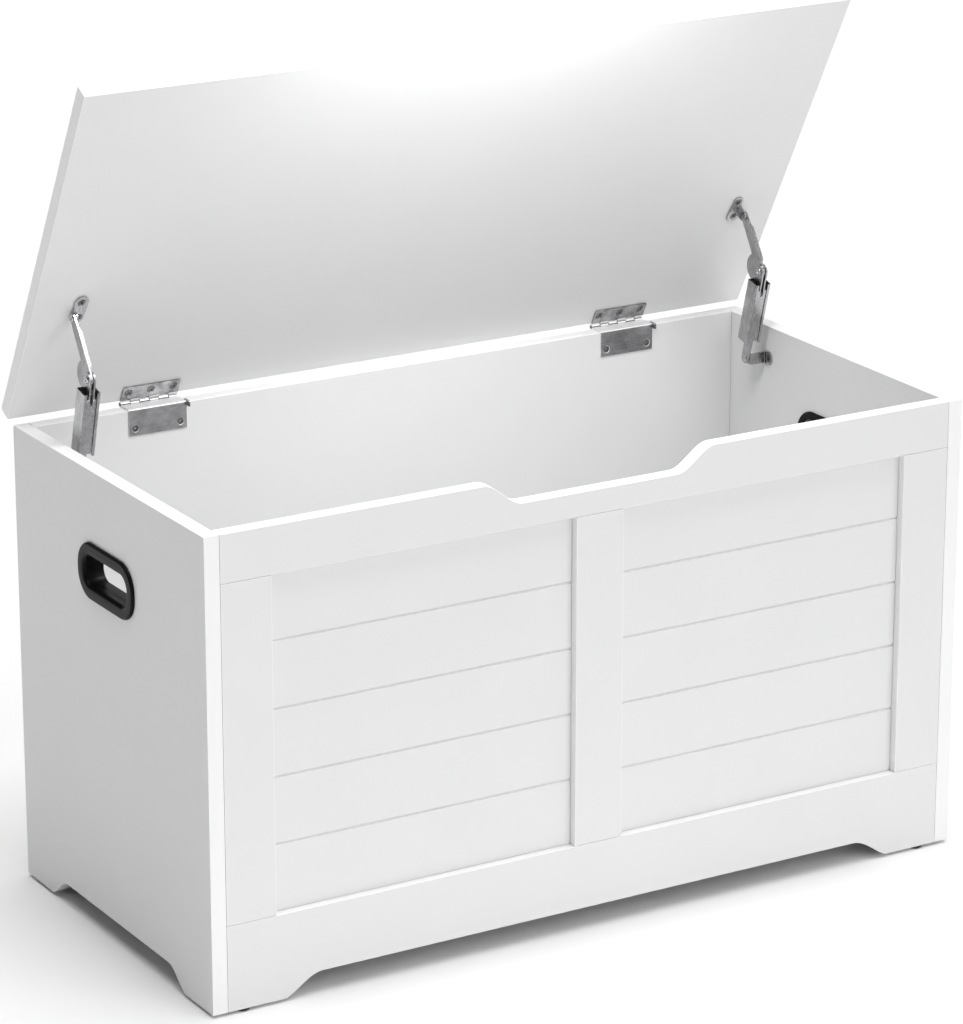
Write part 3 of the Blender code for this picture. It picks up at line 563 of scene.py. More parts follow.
def nylon_look():
    """Natural nylon: milky, with faint flow clouds."""
    look = Look("nylon", Subsurface_Weight=0.15, Subsurface_Scale=0.002)
    cloud = look.noise(180, 3)
    look.drive("Base Color", look.blend(look.spread(cloud, 0, 1), (0.74, 0.73, 0.69), (0.80, 0.79, 0.76)))
    look.drive("Roughness", look.spread(cloud, 0.42, 0.55))
    look.bump((look.noise(1800, 2), 0.10, 0.0001))
    return look.material


# How the rolling lines are drawn out, as noise scales along X, Y and Z
ALONG_X = (0.05, 1, 1)
ALONG_Z = (1, 0.6, 0.06)
EVEN = (1, 1, 1)
# Only partly metallic, so the knuckle plating shows its near-white colour as painted sheen.
KNUCKLE_SHEEN_METALLIC = 0.35

FACE = laminate("white_laminate", (0.774, 0.775, 0.776), (0.785, 0.786, 0.787), 0.36, 0.44, 420)
BAND = laminate("white_edge_band", (0.905, 0.906, 0.906), (0.918, 0.919, 0.919), 0.30, 0.40, 700)
HANDLE_BLACK = moulded(
    "black_handle_plastic", (0.003, 0.003, 0.0032), (0.006, 0.006, 0.0063), 0.28, 0.42, 0.10)
GLIDE_BLACK = moulded(
    "black_glide_plastic", (0.020, 0.020, 0.021), (0.034, 0.034, 0.035), 0.42, 0.60, 0.5)
HINGE_METAL = plated(
    "nickel_hinge_steel", (0.30, 0.30, 0.305), (0.50, 0.50, 0.51), 0.16, 0.30, ALONG_X)
# The lid leaf is the body leaf's steel painted darker and more mottled: painted shade and painted reflection
# on the leaf that faces down under the lid.
LID_LEAF_SHADED_METAL = plated(
    "nickel_lid_leaf_painted_shade", (0.14, 0.14, 0.145), (0.48, 0.48, 0.485), 0.14, 0.28, ALONG_X)
# Knuckles and the body leaf's rim strip: near-white and only partly metallic, a painted sheen that stands in
# for the bright reflections on the plated curls.
KNUCKLE_PAINTED_SHEEN = plated(
    "knuckle_steel_painted_sheen", (0.86, 0.86, 0.865), (0.96, 0.96, 0.96), 0.40, 0.55, ALONG_X, KNUCKLE_SHEEN_METALLIC)
STAY_METAL = plated(
    "plated_stay_steel", (0.36, 0.36, 0.365), (0.48, 0.48, 0.49), 0.20, 0.34, ALONG_Z)
SCREW_METAL = plated("plated_screw_steel", (0.14, 0.14, 0.143), (0.25, 0.25, 0.255), 0.26, 0.42, EVEN)
RIVET_METAL = plated("turned_rivet_steel", (0.42, 0.42, 0.43), (0.60, 0.60, 0.61), 0.14, 0.26, EVEN)
# Dark oiled wire for the spring; the hinge pin takes it too, as painted shade that darkens the gaps between
# the knuckles.
SPRING_AND_PIN_SHADE_METAL = plated("oiled_spring_wire_and_pin_shade", (0.14, 0.14, 0.145), (0.24, 0.24, 0.25), 0.25, 0.40, EVEN)
NYLON = nylon_look()


# ---------------------------------------------------------------- boards
def board(name, outline, plane, start, end, nodes, holes=(), body="chest", matrix=WORLD):
    """A laminated board with softly eased edges and banded rims."""
    bm = bmesh.new()
    add_plate(bm, outline, plane, start, end, holes)
    ease(bm, BOARD_EASE)
    depth = {"YZ": 0, "XZ": 1, "XY": 2}[plane]
    for face in bm.faces:
        face.material_index = 0 if abs(face.normal[depth]) > 0.95 else 1
    return finish(name, bm, [FACE, BAND], body, nodes, matrix)


SHELL_LOW, SHELL_HIGH = node_box("left_handle_shell")


def handle_outline(inset, steps=HANDLE_STEPS):
    """Outline of the handle, drawn in by inset, in the YZ plane."""
    middle = (SHELL_LOW + SHELL_HIGH) / 2
    size = SHELL_HIGH - SHELL_LOW
    corner = max(HANDLE_CORNER - inset, LEAST_CORNER)
    return rounded_rectangle((middle.y, middle.z), size.y - 2 * inset, size.z - 2 * inset, corner, steps)


def make_side_boards():
    """Side panels with a scalloped foot line and a slot for the handle."""
    foot = FRONT + SIDE_FOOT
    front = [(y, FOOT + z) for y, z in scallop(foot, foot + SIDE_ARCH_RUN, ARCH_HEIGHT, ARCH_START)]
    back = [(FRONT + BACK - y, z) for y, z in reversed(front)]
    outline = [(FRONT, FOOT)] + front + back + [(BACK, FOOT), (BACK, RIM), (FRONT, RIM)]
    slot = handle_outline(SLEEVE_INSET - GAP)
    for side, sign in SIDES:
        inner = sign * INNER_HALF
        outer = sign * HALF_WIDTH
        board(f"{side}_side_board", outline, "YZ", inner, outer, [f"{side}_side_panel"], [slot])


def make_box_boards():
    """Back board, floor board, and the front's stiles."""
    for node in ("back_panel", "left_stile", "centre_stile", "right_stile"):
        low, high = node_box(node)
        outline = [(low.x, low.z), (high.x, low.z), (high.x, high.z), (low.x, high.z)]
        board(f"{node}_board", outline, "XZ", low.y, high.y, [node])
    low, high = node_box("bottom_panel")
    outline = [(low.x, low.y), (high.x, low.y), (high.x, high.y), (low.x, high.y)]
    board("bottom_panel_board", outline, "XY", low.z, high.z, ["bottom_panel"])


def make_front_rails():
    """Top rail with the finger notch and bottom rail with the scalloped arch."""
    low, high = node_box("top_rail")
    outer = NOTCH_HALF_FLAT + NOTCH_RUN
    floor = high.z - NOTCH_DEPTH
    right = [(x, floor + z) for x, z in scallop(NOTCH_HALF_FLAT, outer, NOTCH_DEPTH, 0.0)]
    left = [(-x, z) for x, z in right]
    outline = [(low.x, low.z), (high.x, low.z), (high.x, high.z)] + right[::-1] + left + [(low.x, high.z)]
    board("top_rail_board", outline, "XZ", low.y, high.y, ["top_rail"])

    low, high = node_box("bottom_rail")
    foot = high.x - FRONT_FOOT
    left = [(-x, low.z + z) for x, z in scallop(foot, foot - FRONT_ARCH_RUN, ARCH_HEIGHT, ARCH_START)]
    right = [(-x, z) for x, z in reversed(left)]
    outline = [(low.x, low.z)] + left + right + [(high.x, low.z), (high.x, high.z), (low.x, high.z)]
    board("bottom_rail_board", outline, "XZ", low.y, high.y, ["bottom_rail"])


def make_grooved_boards():
    """Thin recessed boards with evenly spaced V grooves across their front."""
    for side, _sign in SIDES:
        node = f"{side}_grooved_panel"
        low, high = node_box(node)
        pitch = (high.z - low.z) / (GROOVES + 1)
        front = [(low.y, low.z)]
        for index in range(1, GROOVES + 1):
            level = low.z + pitch * index
            front += [
                (low.y, level - GROOVE_WIDTH / 2), (low.y + GROOVE_DEPTH, level - GROOVE_WIDTH * 0.06),
                (low.y + GROOVE_DEPTH, level + GROOVE_WIDTH * 0.06), (low.y, level + GROOVE_WIDTH / 2),
            ]
        outline = front + [(low.y, high.z), (high.y, high.z), (high.y, low.z)]
        bm = bmesh.new()
        add_plate(bm, outline, "YZ", low.x, high.x)
        ease(bm, BOARD_EASE * 0.5)
        finish(f"{side}_grooved_board", bm, [FACE], "chest", [node])


def make_lid_board():
    """Flat lid with eased, banded edges."""
    outline = [
        (LID_LOW.x, LID_LOW.y), (LID_HIGH.x, LID_LOW.y), (LID_HIGH.x, LID_HIGH.y), (LID_LOW.x, LID_HIGH.y)]
    board("lid_board", outline, "XY", LID_LOW.z, LID_HIGH.z, ["lid"], body="lid_group", matrix=LID_FRAME)


def make_glide_pads():
    """Domed plastic glides, each with a nail sunk in its middle."""
    for side, _sign in SIDES:
        for end in ("front", "back"):
            node = f"{end}_{side}_glide"
            low, high = node_box(node)
            radius = (high.x - low.x) / 2
            height = high.z - low.z
            middle = (low + high) / 2
            bm = bmesh.new()
            profile = [(0, height * 0.45), (radius * 0.24, height * 0.42), (radius * 0.30, height * 0.15)]
            profile += [(radius * 0.42, 0), (radius * 0.80, 0)]
            profile += [(radius * 0.92, height * 0.10), (radius, height * 0.35), (radius, height)]
            add_turned(bm, profile, Matrix.Translation((middle.x, middle.y, low.z)), 40)
            finish(f"{node}_pad", bm, [GLIDE_BLACK], "chest", [node])


# ---------------------------------------------------------------- handles
def handle_loops(sign, face, profile):
    """Loops of a handle ring; the profile holds (distance out from the face, inset) pairs."""
    return [[Vector((sign * (face + out), y, z)) for y, z in handle_outline(inset)] for out, inset in profile]


def bulge(start, end, steps):
    """Quarter ellipse of (out, inset) pairs that leaves start outwards and arrives at end level."""
    points = []
    for step in range(steps + 1):
        angle = math.pi / 2 * step / steps
        out = start[0] + (end[0] - start[0]) * math.sin(angle)
        inset = start[1] + (end[1] - start[1]) * (1 - math.cos(angle))
        points.append((out, inset))
    return points


def make_handles():
    """Outer shell with a rounded flange and funnel throat, and the ring that backs it inside."""
    proud = -HALF_WIDTH - SHELL_LOW.x
    depth = HALF_WIDTH + SHELL_HIGH.x
    for side, sign in SIDES:
        profile = [(GAP, 0)] + bulge((FLANGE_EDGE, 0), (proud, FLANGE_ROUND), 5)
        profile += [(proud + FLANGE_CROWN, FLANGE_BAND * 0.5)]
        lip = bulge((-LIP_DIP, FLANGE_BAND + LIP_STEP), (proud, FLANGE_BAND - LIP_ROUND), 7)
        profile += lip[::-1][1:]
        profile += [(-depth * share, inset) for share, inset in THROAT_BENDS]
        profile += [(-depth + THROAT_END, THROAT_END_INSET), (-depth, THROAT_INSET - THROAT_END)]
        profile += [(-depth, SLEEVE_INSET + SLEEVE_TIP), (GAP, SLEEVE_INSET)]
        bm = bmesh.new()
        add_loops(bm, handle_loops(sign, HALF_WIDTH, profile))
        finish(
            f"{side}_handle_outer", bm, [HANDLE_BLACK], "chest", [f"{side}_handle_shell"])

        profile = [(GAP, 0)] + bulge((RING_EDGE, 0), (RING_PROUD, RING_ROUND), 5)
        profile += bulge((RING_LIP, RING_INNER), (RING_PROUD, RING_INNER_ROUND), 4)[::-1]
        profile += [(GAP, RING_INNER)]
        bm = bmesh.new()
        add_loops(bm, handle_loops(sign, INNER_HALF, [(-out, inset) for out, inset in profile]))
        finish(
            f"{side}_handle_inner", bm, [HANDLE_BLACK], "chest", [f"{side}_handle_ring"])


# ---------------------------------------------------------------- screws and rivets
def screw_mesh():
    """Countersunk head with a cross recess, a shank and a tip; the head faces +Z at zero."""
    bm = bmesh.new()
    profile = [(SCREW_HEAD * share, height) for share, height in SCREW_TOP]
    add_turned(bm, profile + list(SCREW_BODY), WORLD, 28)
    for reach, deep in CROSS_STEPS:
        for along, across in ((reach, CROSS_HALF), (CROSS_HALF, reach)):
            tool = bmesh.new()
            add_box(tool, (-along, -across, -deep), (along, across, CROSS_TOP))
            bm = carve(bm, tool)
    settle(bm)
    mesh = bpy.data.meshes.new("screw_template")
    bm.to_mesh(mesh)
    bm.free()
    return mesh


SCREW = screw_mesh()


def facing(place, outward, roll=0.0):
    """Frame at place whose +Z points outward, turned about it by roll degrees."""
    turn = Vector(outward).to_track_quat("Z", "Y").to_matrix().to_4x4()
    return Matrix.Translation(place) @ turn @ Matrix.Rotation(math.radians(roll), 4, "Z")


def add_screw(name, place, outward, roll, body, nodes=(), matrix=WORLD):
    """A screw whose head face sits at place."""
    bm = bmesh.new()
    bm.from_mesh(SCREW)
    bm.transform(facing(place, outward, roll))
    return finish(name, bm, [SCREW_METAL], body, nodes, matrix)


def countersink(bm, place, outward):
    """Add a countersunk clearance hole to a cutter."""
    head = SCREW_HEAD + SINK_CLEAR
    add_turned(bm, [(head, SINK_TOP), (head, -SINK_RIM), *SINK_PROFILE], facing(place, outward), 28)


def rivet_profile(low, high, heads=(True, True)):
    """Eyelet rivet along Z with a rolled, hollow head at each end."""
    def head(level, way):
        return [(radius, level - way * sink) for radius, sink in RIVET_HEAD]
    start = head(low, -1) if heads[0] else [(0, low), (RIVET_END, low)]
    end = head(high, 1) if heads[1] else [(0, high), (RIVET_END, high)]
    shank = [(RIVET_SHANK, start[-1][1]), (RIVET_SHANK, end[-1][1])]
    return start + shank + end[::-1]


def add_rivet(name, frame_matrix, at_length, span, body, node, heads=(True, True)):
    """A rivet along X, between the two X values of span, at a height in the frame."""
    bm = bmesh.new()
    along_x = Matrix.Translation((0, 0, at_length)) @ Matrix.Rotation(math.pi / 2, 4, "Y")
    add_turned(bm, rivet_profile(*span, heads), along_x, 32)
    return finish(name, bm, [RIVET_METAL], body, [node], frame_matrix)


# ---------------------------------------------------------------- hinges
def curl(level_sign, knuckle_radius, leaf_end):
    """Section of a leaf's tail rolled round the pin; level_sign -1 puts the leaf below the pin."""
    inner = PIN_RADIUS + GAP
    top = -GAP / 2
    lower = top - LEAF
    outer_start = 180 + math.degrees(math.asin(-lower / knuckle_radius))
    inner_start = 180 + math.degrees(math.asin(-top / inner))
    outline = [(leaf_end, lower)] + arc((0, 0), knuckle_radius, outer_start, KNUCKLE_END, KNUCKLE_STEPS)
    outline += arc((0, 0), inner, KNUCKLE_END, inner_start, KNUCKLE_STEPS) + [(leaf_end, top)]
    return [(y, -level_sign * z) for y, z in outline]


def add_knuckles(bm, start, width, first, outline):
    """Every second knuckle of the row, starting with the one numbered first."""
    pitch = width / KNUCKLES
    for index in range(first, KNUCKLES, 2):
        left = start + index * pitch
        add_plate(bm, outline, "YZ", left + KNUCKLE_GAP / 2, left + pitch - KNUCKLE_GAP / 2)


def finish_sheet(name, bm, materials, body, nodes, matrix, width=METAL_EASE, split=None):
    """Soften a sheet-metal piece's edges; faces behind the Y value of split take the second material."""
    ease(bm, width)
    if split is not None:
        for face in bm.faces:
            face.material_index = int(face.calc_center_median().y > split)
    return finish(name, bm, materials, body, nodes, matrix)


def make_body_leaf(side):
    """Leaf bent over the back board: screwed flap, rim strip, knuckles and one end ear."""
    node = f"{side}_hinge_body_leaf"
    low, high = local_box(node, Matrix.Translation(HINGE))
    knuckle = high.z
    inner = BACK - BOARD - GAP - HINGE.y
    outer = inner - LEAF
    top = -GAP / 2
    seam = top - BEND_RADIUS - SEAM_CLEAR
    strip_end = BACK - HINGE.y - STRIP_SHORT
    right = low.x + HINGE_WIDTH
    flap = [(right, seam), (low.x, seam)]
    flap += arc((low.x + FLAP_CORNER, low.z + FLAP_CORNER), FLAP_CORNER, 180, 270, 4)
    flap += arc((right - FLAP_CORNER, low.z + FLAP_CORNER), FLAP_CORNER, 270, 360, 4)
    bm = bmesh.new()
    add_plate(bm, flap, "XZ", outer, inner)

    bent = round_corners([(inner - LEAF / 2, seam), (inner - LEAF / 2, top - LEAF / 2),
                          (strip_end, top - LEAF / 2)], BEND_RADIUS - LEAF / 2, 6)
    strip = bmesh.new()
    add_plate(strip, sheet_outline(bent, LEAF), "YZ", low.x, right)
    bm = carve(bm, strip, "UNION")
    knuckles = bmesh.new()
    add_knuckles(knuckles, low.x, HINGE_WIDTH, 0, curl(-1, knuckle, strip_end - KNUCKLE_TAIL))
    bm = carve(bm, knuckles, "UNION")
    root = bmesh.new()
    back = outer + HINGE_EAR_BEHIND
    add_box(root, (right - LEAF, back - HINGE_EAR_ROOT, top - LEAF + GAP / 2),
            (right + LEAF, back - GAP, top - GAP / 2))
    bm = carve(bm, root, "UNION")
    ear = bmesh.new()
    ear_low = RIM - HINGE_EAR_BELOW - HINGE.z
    ear_high = RIM + HINGE_EAR_ABOVE - HINGE.z
    corner = HINGE_EAR_CORNER
    front = outer - HINGE_EAR_AHEAD + corner
    rear_corner = HINGE_EAR_BACK_CORNER
    shape = [(inner, top - LEAF), (inner, ear_low)]
    shape += arc((front, ear_low + corner), corner, 270, 180, 5)
    shape += arc((front, ear_high - corner), corner, 180, 90, 5)
    shape += arc((back - rear_corner, ear_high - rear_corner), rear_corner, 90, 0, 4) + [(back, top - LEAF)]
    add_plate(ear, shape, "YZ", right + GAP, right + GAP + LEAF)
    bm = carve(bm, ear, "UNION")

    holes = bmesh.new()
    places = []
    for index in (1, 2):
        first, last = node_box(f"{side}_body_leaf_screw_{index}")
        place = Vector(((first.x + last.x) / 2, first.y, (first.z + last.z) / 2))
        places.append(place)
        countersink(holes, place - HINGE, (0, -1, 0))
    bm = carve(bm, holes)
    finish_sheet(f"{side}_hinge_body_wing", bm, [HINGE_METAL, KNUCKLE_PAINTED_SHEEN], "chest", [node],
                 Matrix.Translation(HINGE), split=outer + GAP)
    for index, place in enumerate(places, start=1):
        add_screw(f"{side}_body_wing_screw_{index}", place, (0, -1, 0), 25 + 31 * index, "chest",
                  [f"{side}_body_leaf_screw_{index}"])


def make_lid_leaf(side):
    """Flat leaf under the lid with its knuckles and three countersunk screws."""
    node = f"{side}_hinge_lid_leaf"
    low, high = local_box(node, LID_FRAME)
    knuckle = -low.z
    strip_end = BACK - HINGE.y - STRIP_SHORT
    base = GAP / 2
    corner = LID_LEAF_CORNER
    shape = arc((low.x + corner, low.y + corner), corner, 180, 270, 5)
    shape += arc((high.x - corner, low.y + corner), corner, 270, 360, 5)
    shape += [(high.x, strip_end), (low.x, strip_end)]
    bm = bmesh.new()
    add_plate(bm, shape, "XY", base, base + LEAF)
    knuckles = bmesh.new()
    add_knuckles(knuckles, low.x, high.x - low.x, 1, curl(1, knuckle, strip_end - KNUCKLE_TAIL))
    bm = carve(bm, knuckles, "UNION")

    holes = bmesh.new()
    places = []
    for index in (1, 2, 3):
        first, last = local_box(f"{side}_lid_leaf_screw_{index}", LID_FRAME)
        place = Vector(((first.x + last.x) / 2, (first.y + last.y) / 2, first.z))
        places.append(place)
        countersink(holes, place, (0, 0, -1))
    bm = carve(bm, holes)
    finish_sheet(f"{side}_hinge_lid_wing", bm, [LID_LEAF_SHADED_METAL, KNUCKLE_PAINTED_SHEEN], "lid_group", [node],
                 LID_FRAME, split=strip_end - KNUCKLE_TAIL)
    for index, place in enumerate(places, start=1):
        add_screw(f"{side}_lid_wing_screw_{index}", place, (0, 0, -1), 17 + 47 * index, "lid_group",
                  [f"{side}_lid_leaf_screw_{index}"], LID_FRAME)


def make_pin(side):
    """Hinge pin with a domed head at each end, dark as painted shade in the gaps between the knuckles."""
    node = f"{side}_hinge_pin"
    low, high = node_box(node)
    half = (high.x - low.x) / 2
    middle = (low + high) / 2
    profile = [(0, -half), (PIN_DOME, -half + PIN_DOME_RISE), (PIN_RADIUS, -half + PIN_DOME_START)]
    profile += [(PIN_RADIUS, half - PIN_DOME_START), (PIN_DOME, half - PIN_DOME_RISE), (0, half)]
    bm = bmesh.new()
    add_turned(bm, profile, facing(middle, (1, 0, 0)), 24)
    # Dark finish on the pin: painted shade for the gaps between the knuckles.
    finish(f"{side}_hinge_pin_rod", bm, [SPRING_AND_PIN_SHADE_METAL], "chest", [node])


# ---------------------------------------------------------------- lid stays
def make_housing(side, body, case):
    """Folded case with rounded corners, open down its front and notched behind."""
    node = f"{side}_stay_housing"
    low, high = local_box(node, case)
    half_w = high.x - CASE_WALL / 2
    half_d = high.y - CASE_WALL / 2
    path = [(-CASE_SLOT, -half_d), (-half_w, -half_d), (-half_w, half_d)]
    path += [(half_w, half_d), (half_w, -half_d), (CASE_SLOT, -half_d)]
    path = round_corners(path, CASE_BEND, 4)
    bm = bmesh.new()
    add_plate(bm, sheet_outline(path, CASE_WALL), "XY", low.z, high.z)
    tool = bmesh.new()
    notch = [(-NOTCH_REACH, high.z + CUT_PAST)]
    notch += arc((0, high.z - NOTCH_BOTTOM), NOTCH_REACH, 180, 360, 10)
    notch += [(NOTCH_REACH, high.z + CUT_PAST)]
    add_plate(tool, notch, "XZ", half_d - CUT_PAST, half_d + CUT_PAST)
    bm = carve(bm, tool)
    finish_sheet(f"{side}_stay_case_shell", bm, [STAY_METAL], body, [node], case, CASE_EASE)


def make_inner_bar(side, body, case, length):
    """Bar inside the case: a web that fills the case's open front, two ears and a tongue."""
    node = f"{side}_stay_inner_bar"
    low, high = local_box(node, case)
    outer = high.x
    front = low.y
    web_end = length - BAR_WEB_END
    prong = length - BAR_PRONG
    web = [(-outer, BAR_START), (outer, BAR_START), (outer, prong), (EAR_NEAR, prong), (EAR_NEAR, web_end),
           (-EAR_NEAR, web_end), (-EAR_NEAR, prong), (-outer, prong)]
    bm = bmesh.new()
    add_plate(bm, web, "XZ", front, front + PLATE)
    ease(bm, BAR_EASE, 3)

    ear_start = length - EAR_START
    ear = [(-BAR_EAR, length - EAR_SHOULDER), (-BAR_EAR + EAR_CHAMFER, ear_start), (BAR_EAR, ear_start)]
    ear += arc((0, length), BAR_EAR, 0, 180, 24)
    top_hole = arc((0, length), RIVET_HOLE, 0, 360, 20)[:-1]
    for way in (-1, 1):
        plate = bmesh.new()
        add_plate(plate, ear, "YZ", *sorted((way * EAR_NEAR, way * (EAR_NEAR + PLATE))), [top_hole])
        ease(plate, METAL_EASE)
        join(bm, plate)
    tongue = arc((0, 0), EYE_RADIUS, 180, 360, 20)
    tongue += [(EYE_RADIUS, TONGUE_END - TONGUE_CHAMFER), (EYE_RADIUS - TONGUE_CHAMFER, TONGUE_END)]
    tongue += [(front + PLATE / 2, TONGUE_END), (front + PLATE / 2, TONGUE_SHOULDER)]
    hole = arc((0, 0), RIVET_HOLE, 0, 360, 20)[:-1]
    plate = bmesh.new()
    add_plate(plate, tongue, "YZ", -PLATE / 2, PLATE / 2, [hole])
    ease(plate, METAL_EASE)
    join(bm, plate)
    finish(f"{side}_stay_bar", bm, [STAY_METAL], body, [node], case)


def join(bm, other):
    """Add the other mesh's faces to this one."""
    settle(other)
    mesh = bpy.data.meshes.new("joining")
    other.to_mesh(mesh)
    other.free()
    bm.from_mesh(mesh)
    bpy.data.meshes.remove(mesh)


def make_spring(side, body, case):
    """Close-wound compression spring of round wire."""
    node = f"{side}_stay_spring"
    low, high = local_box(node, case)
    wire = SPRING_WIRE
    radius = high.x - wire
    steps = SPRING_TURNS * SPRING_STEPS
    bm = bmesh.new()
    rings = []
    for step in range(steps + 1):
        share = step / steps
        turn = 2 * math.pi * SPRING_TURNS * share
        lead = min(max((share - DEAD_TURNS) / (1 - 2 * DEAD_TURNS), 0.0), 1.0)
        height = low.z + wire + (high.z - low.z - 2 * wire) * lead
        ring = []
        for corner in range(WIRE_SIDES):
            angle = 2 * math.pi * corner / WIRE_SIDES
            out = radius + wire * math.cos(angle)
            rise = height + wire * math.sin(angle)
            ring.append(bm.verts.new((out * math.cos(turn), out * math.sin(turn), rise)))
        rings.append(ring)
    bm.faces.new(rings[0])
    bm.faces.new(rings[-1])
    for lower, upper in zip(rings, rings[1:]):
        for corner in range(WIRE_SIDES):
            after = (corner + 1) % WIRE_SIDES
            bm.faces.new((lower[corner], lower[after], upper[after], upper[corner]))
    finish(f"{side}_stay_coil", bm, [SPRING_AND_PIN_SHADE_METAL], body, [node], case)


def make_follower(side, body, case):
    """Nylon block with a hollowed top that bears on the cam."""
    node = f"{side}_stay_cam_follower"
    low, high = local_box(node, case)
    middle = (low.y + high.y) / 2
    bite = arc((middle, high.z + CAM_RADIUS - FOLLOWER_BITE), CAM_RADIUS, 250, 290, 12)
    hollow = [(y, z) for y, z in bite if z < high.z]
    outline = [(low.y, low.z), (high.y, low.z), (high.y, high.z)] + hollow[::-1] + [(low.y, high.z)]
    bm = bmesh.new()
    add_plate(bm, outline, "YZ", low.x, high.x)
    ease(bm, FOLLOWER_EASE)
    finish(f"{side}_stay_follower", bm, [NYLON], body, [node], case)


def make_arm(side, body, link, length):
    """Arm with a cam disc set behind the elbow, an eye at the top and a folded front edge."""
    node = f"{side}_stay_arm"
    low, high = local_box(node, link)
    half = -low.x
    reach = high.x
    cam = arc(CAM_CENTRE, CAM_RADIUS, *CAM_ARC, 44)
    boss = arc((0, 0), ARM_HALF, *BOSS_ARC, 12)
    eye = arc((0, length), ARM_EYE, *EYE_ARC, 16)
    shoulder = length - ARM_NECK
    neck = [(ARM_EYE + NECK_STEP, shoulder), *NECK_POINTS]
    outline = cam + boss + [(-ARM_HALF, shoulder)] + eye + neck
    holes = [arc((0, 0), RIVET_HOLE, 0, 360, 24)[:-1], arc((0, length), RIVET_HOLE, 0, 360, 24)[:-1]]
    bm = bmesh.new()
    add_plate(bm, outline, "YZ", -half, half, holes)
    ease(bm, METAL_EASE)

    fold = bmesh.new()
    root = half * FOLD_ROOT
    shape = [(reach - back, FOLD_START + rise) for back, rise in FOLD_FOOT] + [(root, FOLD_START)]
    shape += [(root, shoulder)] + [(reach - back, length - drop) for back, drop in FOLD_HEAD]
    add_plate(fold, shape, "XZ", -ARM_HALF, FOLD_THICK - ARM_HALF)
    ease(fold, METAL_EASE * FOLD_EASE, 3)
    join(bm, fold)
    finish(f"{side}_stay_link_arm", bm, [STAY_METAL], body, [node], link)


def make_side_bracket(side, sign, low_pivot):
    """Bent bracket on the side board: ear, web across the front and a round-cornered wall tab."""
    node = f"{side}_stay_side_bracket"
    matrix = Matrix.Translation(low_pivot)
    low, high = local_box(node, matrix)
    wall = max(-low.x, high.x)
    ear = PLATE / 2 + GAP
    front = -BRACKET_FRONT
    tall = high.z
    middle = PLATE / 2
    path = [(ear + middle, high.y), (ear + middle, front + middle), (wall - middle, front + middle),
            (wall - middle, front - BRACKET_RETURN)]
    path = [(sign * x, y) for x, y in round_corners(path, BRACKET_BEND, 5)]
    bm = bmesh.new()
    add_plate(bm, sheet_outline(path, PLATE), "XY", -tall, tall)
    tool = bmesh.new()
    across = facing((sign * (ear + middle), 0, 0), (1, 0, 0))
    add_turned(tool, [(RIVET_HOLE, -CUT_PAST), (RIVET_HOLE, CUT_PAST)], across, 24)
    bm = carve(bm, tool)
    tab = bmesh.new()
    plate = rounded_rectangle((low.y + TAB_LENGTH / 2, 0), TAB_LENGTH, TAB_TALL, TAB_CORNER, 8)
    first, last = node_box(f"{side}_side_bracket_screw_1")
    head_x = last.x if sign < 0 else first.x
    screw = Vector((head_x, (first.y + last.y) / 2, (first.z + last.z) / 2))
    add_plate(tab, plate, "YZ", *sorted((sign * wall, sign * (wall - PLATE))))
    holes = bmesh.new()
    countersink(holes, screw - low_pivot, (-sign, 0, 0))
    tab = carve(tab, holes)
    ease(bm, METAL_EASE)
    ease(tab, METAL_EASE)
    join(bm, tab)
    finish(f"{side}_stay_wall_bracket", bm, [STAY_METAL], "chest", [node], matrix)
    add_screw(f"{side}_wall_bracket_screw", screw, (-sign, 0, 0), 38, "chest",
              [f"{side}_side_bracket_screw_1"])


def make_lid_bracket(side, sign):
    """Egg-shaped plate under the lid with a folded ear on its outboard side and two screws."""
    node = f"{side}_stay_lid_bracket"
    low, high = local_box(node, LID_FRAME)
    face = high.z
    first, last = local_box(f"{side}_lid_bracket_screw_1", LID_FRAME)
    screw = Vector(((first.x + last.x) / 2, (first.y + last.y) / 2, first.z))
    middle = (low.y + high.y) / 2
    half = (high.y - low.y) / 2
    egg = arc((0, half - EGG_WIDE), EGG_WIDE, 0, 180, 20)
    egg += arc((0, EGG_NARROW - half), EGG_NARROW, 180, 360, 16)
    outline = [(screw.x + x, middle + sign * y) for x, y in egg]
    bm = bmesh.new()
    add_plate(bm, outline, "XY", face - PLATE, face)
    second = Vector((screw.x, middle - sign * (half - EGG_SCREW_IN), screw.z))
    holes = bmesh.new()
    for place in (screw, second):
        countersink(holes, place, (0, 0, -1))
    bm = carve(bm, holes)
    ease(bm, EGG_EASE, 3)

    ear = bmesh.new()
    pivot = Vector((0, BACK - LID_EAR_REACH - HINGE.y, low.z + EYE_RADIUS))
    shape = arc((pivot.y, pivot.z), EYE_RADIUS, 180, 360, 16)
    shape += [(pivot.y + EYE_RADIUS, face - LID_EAR_SINK), (pivot.y - EYE_RADIUS, face - LID_EAR_SINK)]
    hole = arc((pivot.y, pivot.z), RIVET_HOLE, 0, 360, 24)[:-1]
    outer = sign * (STAY_X - EAR_NEAR)
    add_plate(ear, shape, "YZ", *sorted((outer, outer - sign * PLATE)), [hole])
    ease(ear, METAL_EASE)
    join(bm, ear)
    finish(f"{side}_stay_lid_plate", bm, [STAY_METAL], "lid_group", [node], LID_FRAME)
    add_screw(f"{side}_lid_plate_screw_1", screw, (0, 0, -1), 12, "lid_group",
              [f"{side}_lid_bracket_screw_1"], LID_FRAME)
    add_screw(f"{side}_lid_plate_screw_2", second, (0, 0, -1), 71, "lid_group", (), LID_FRAME)


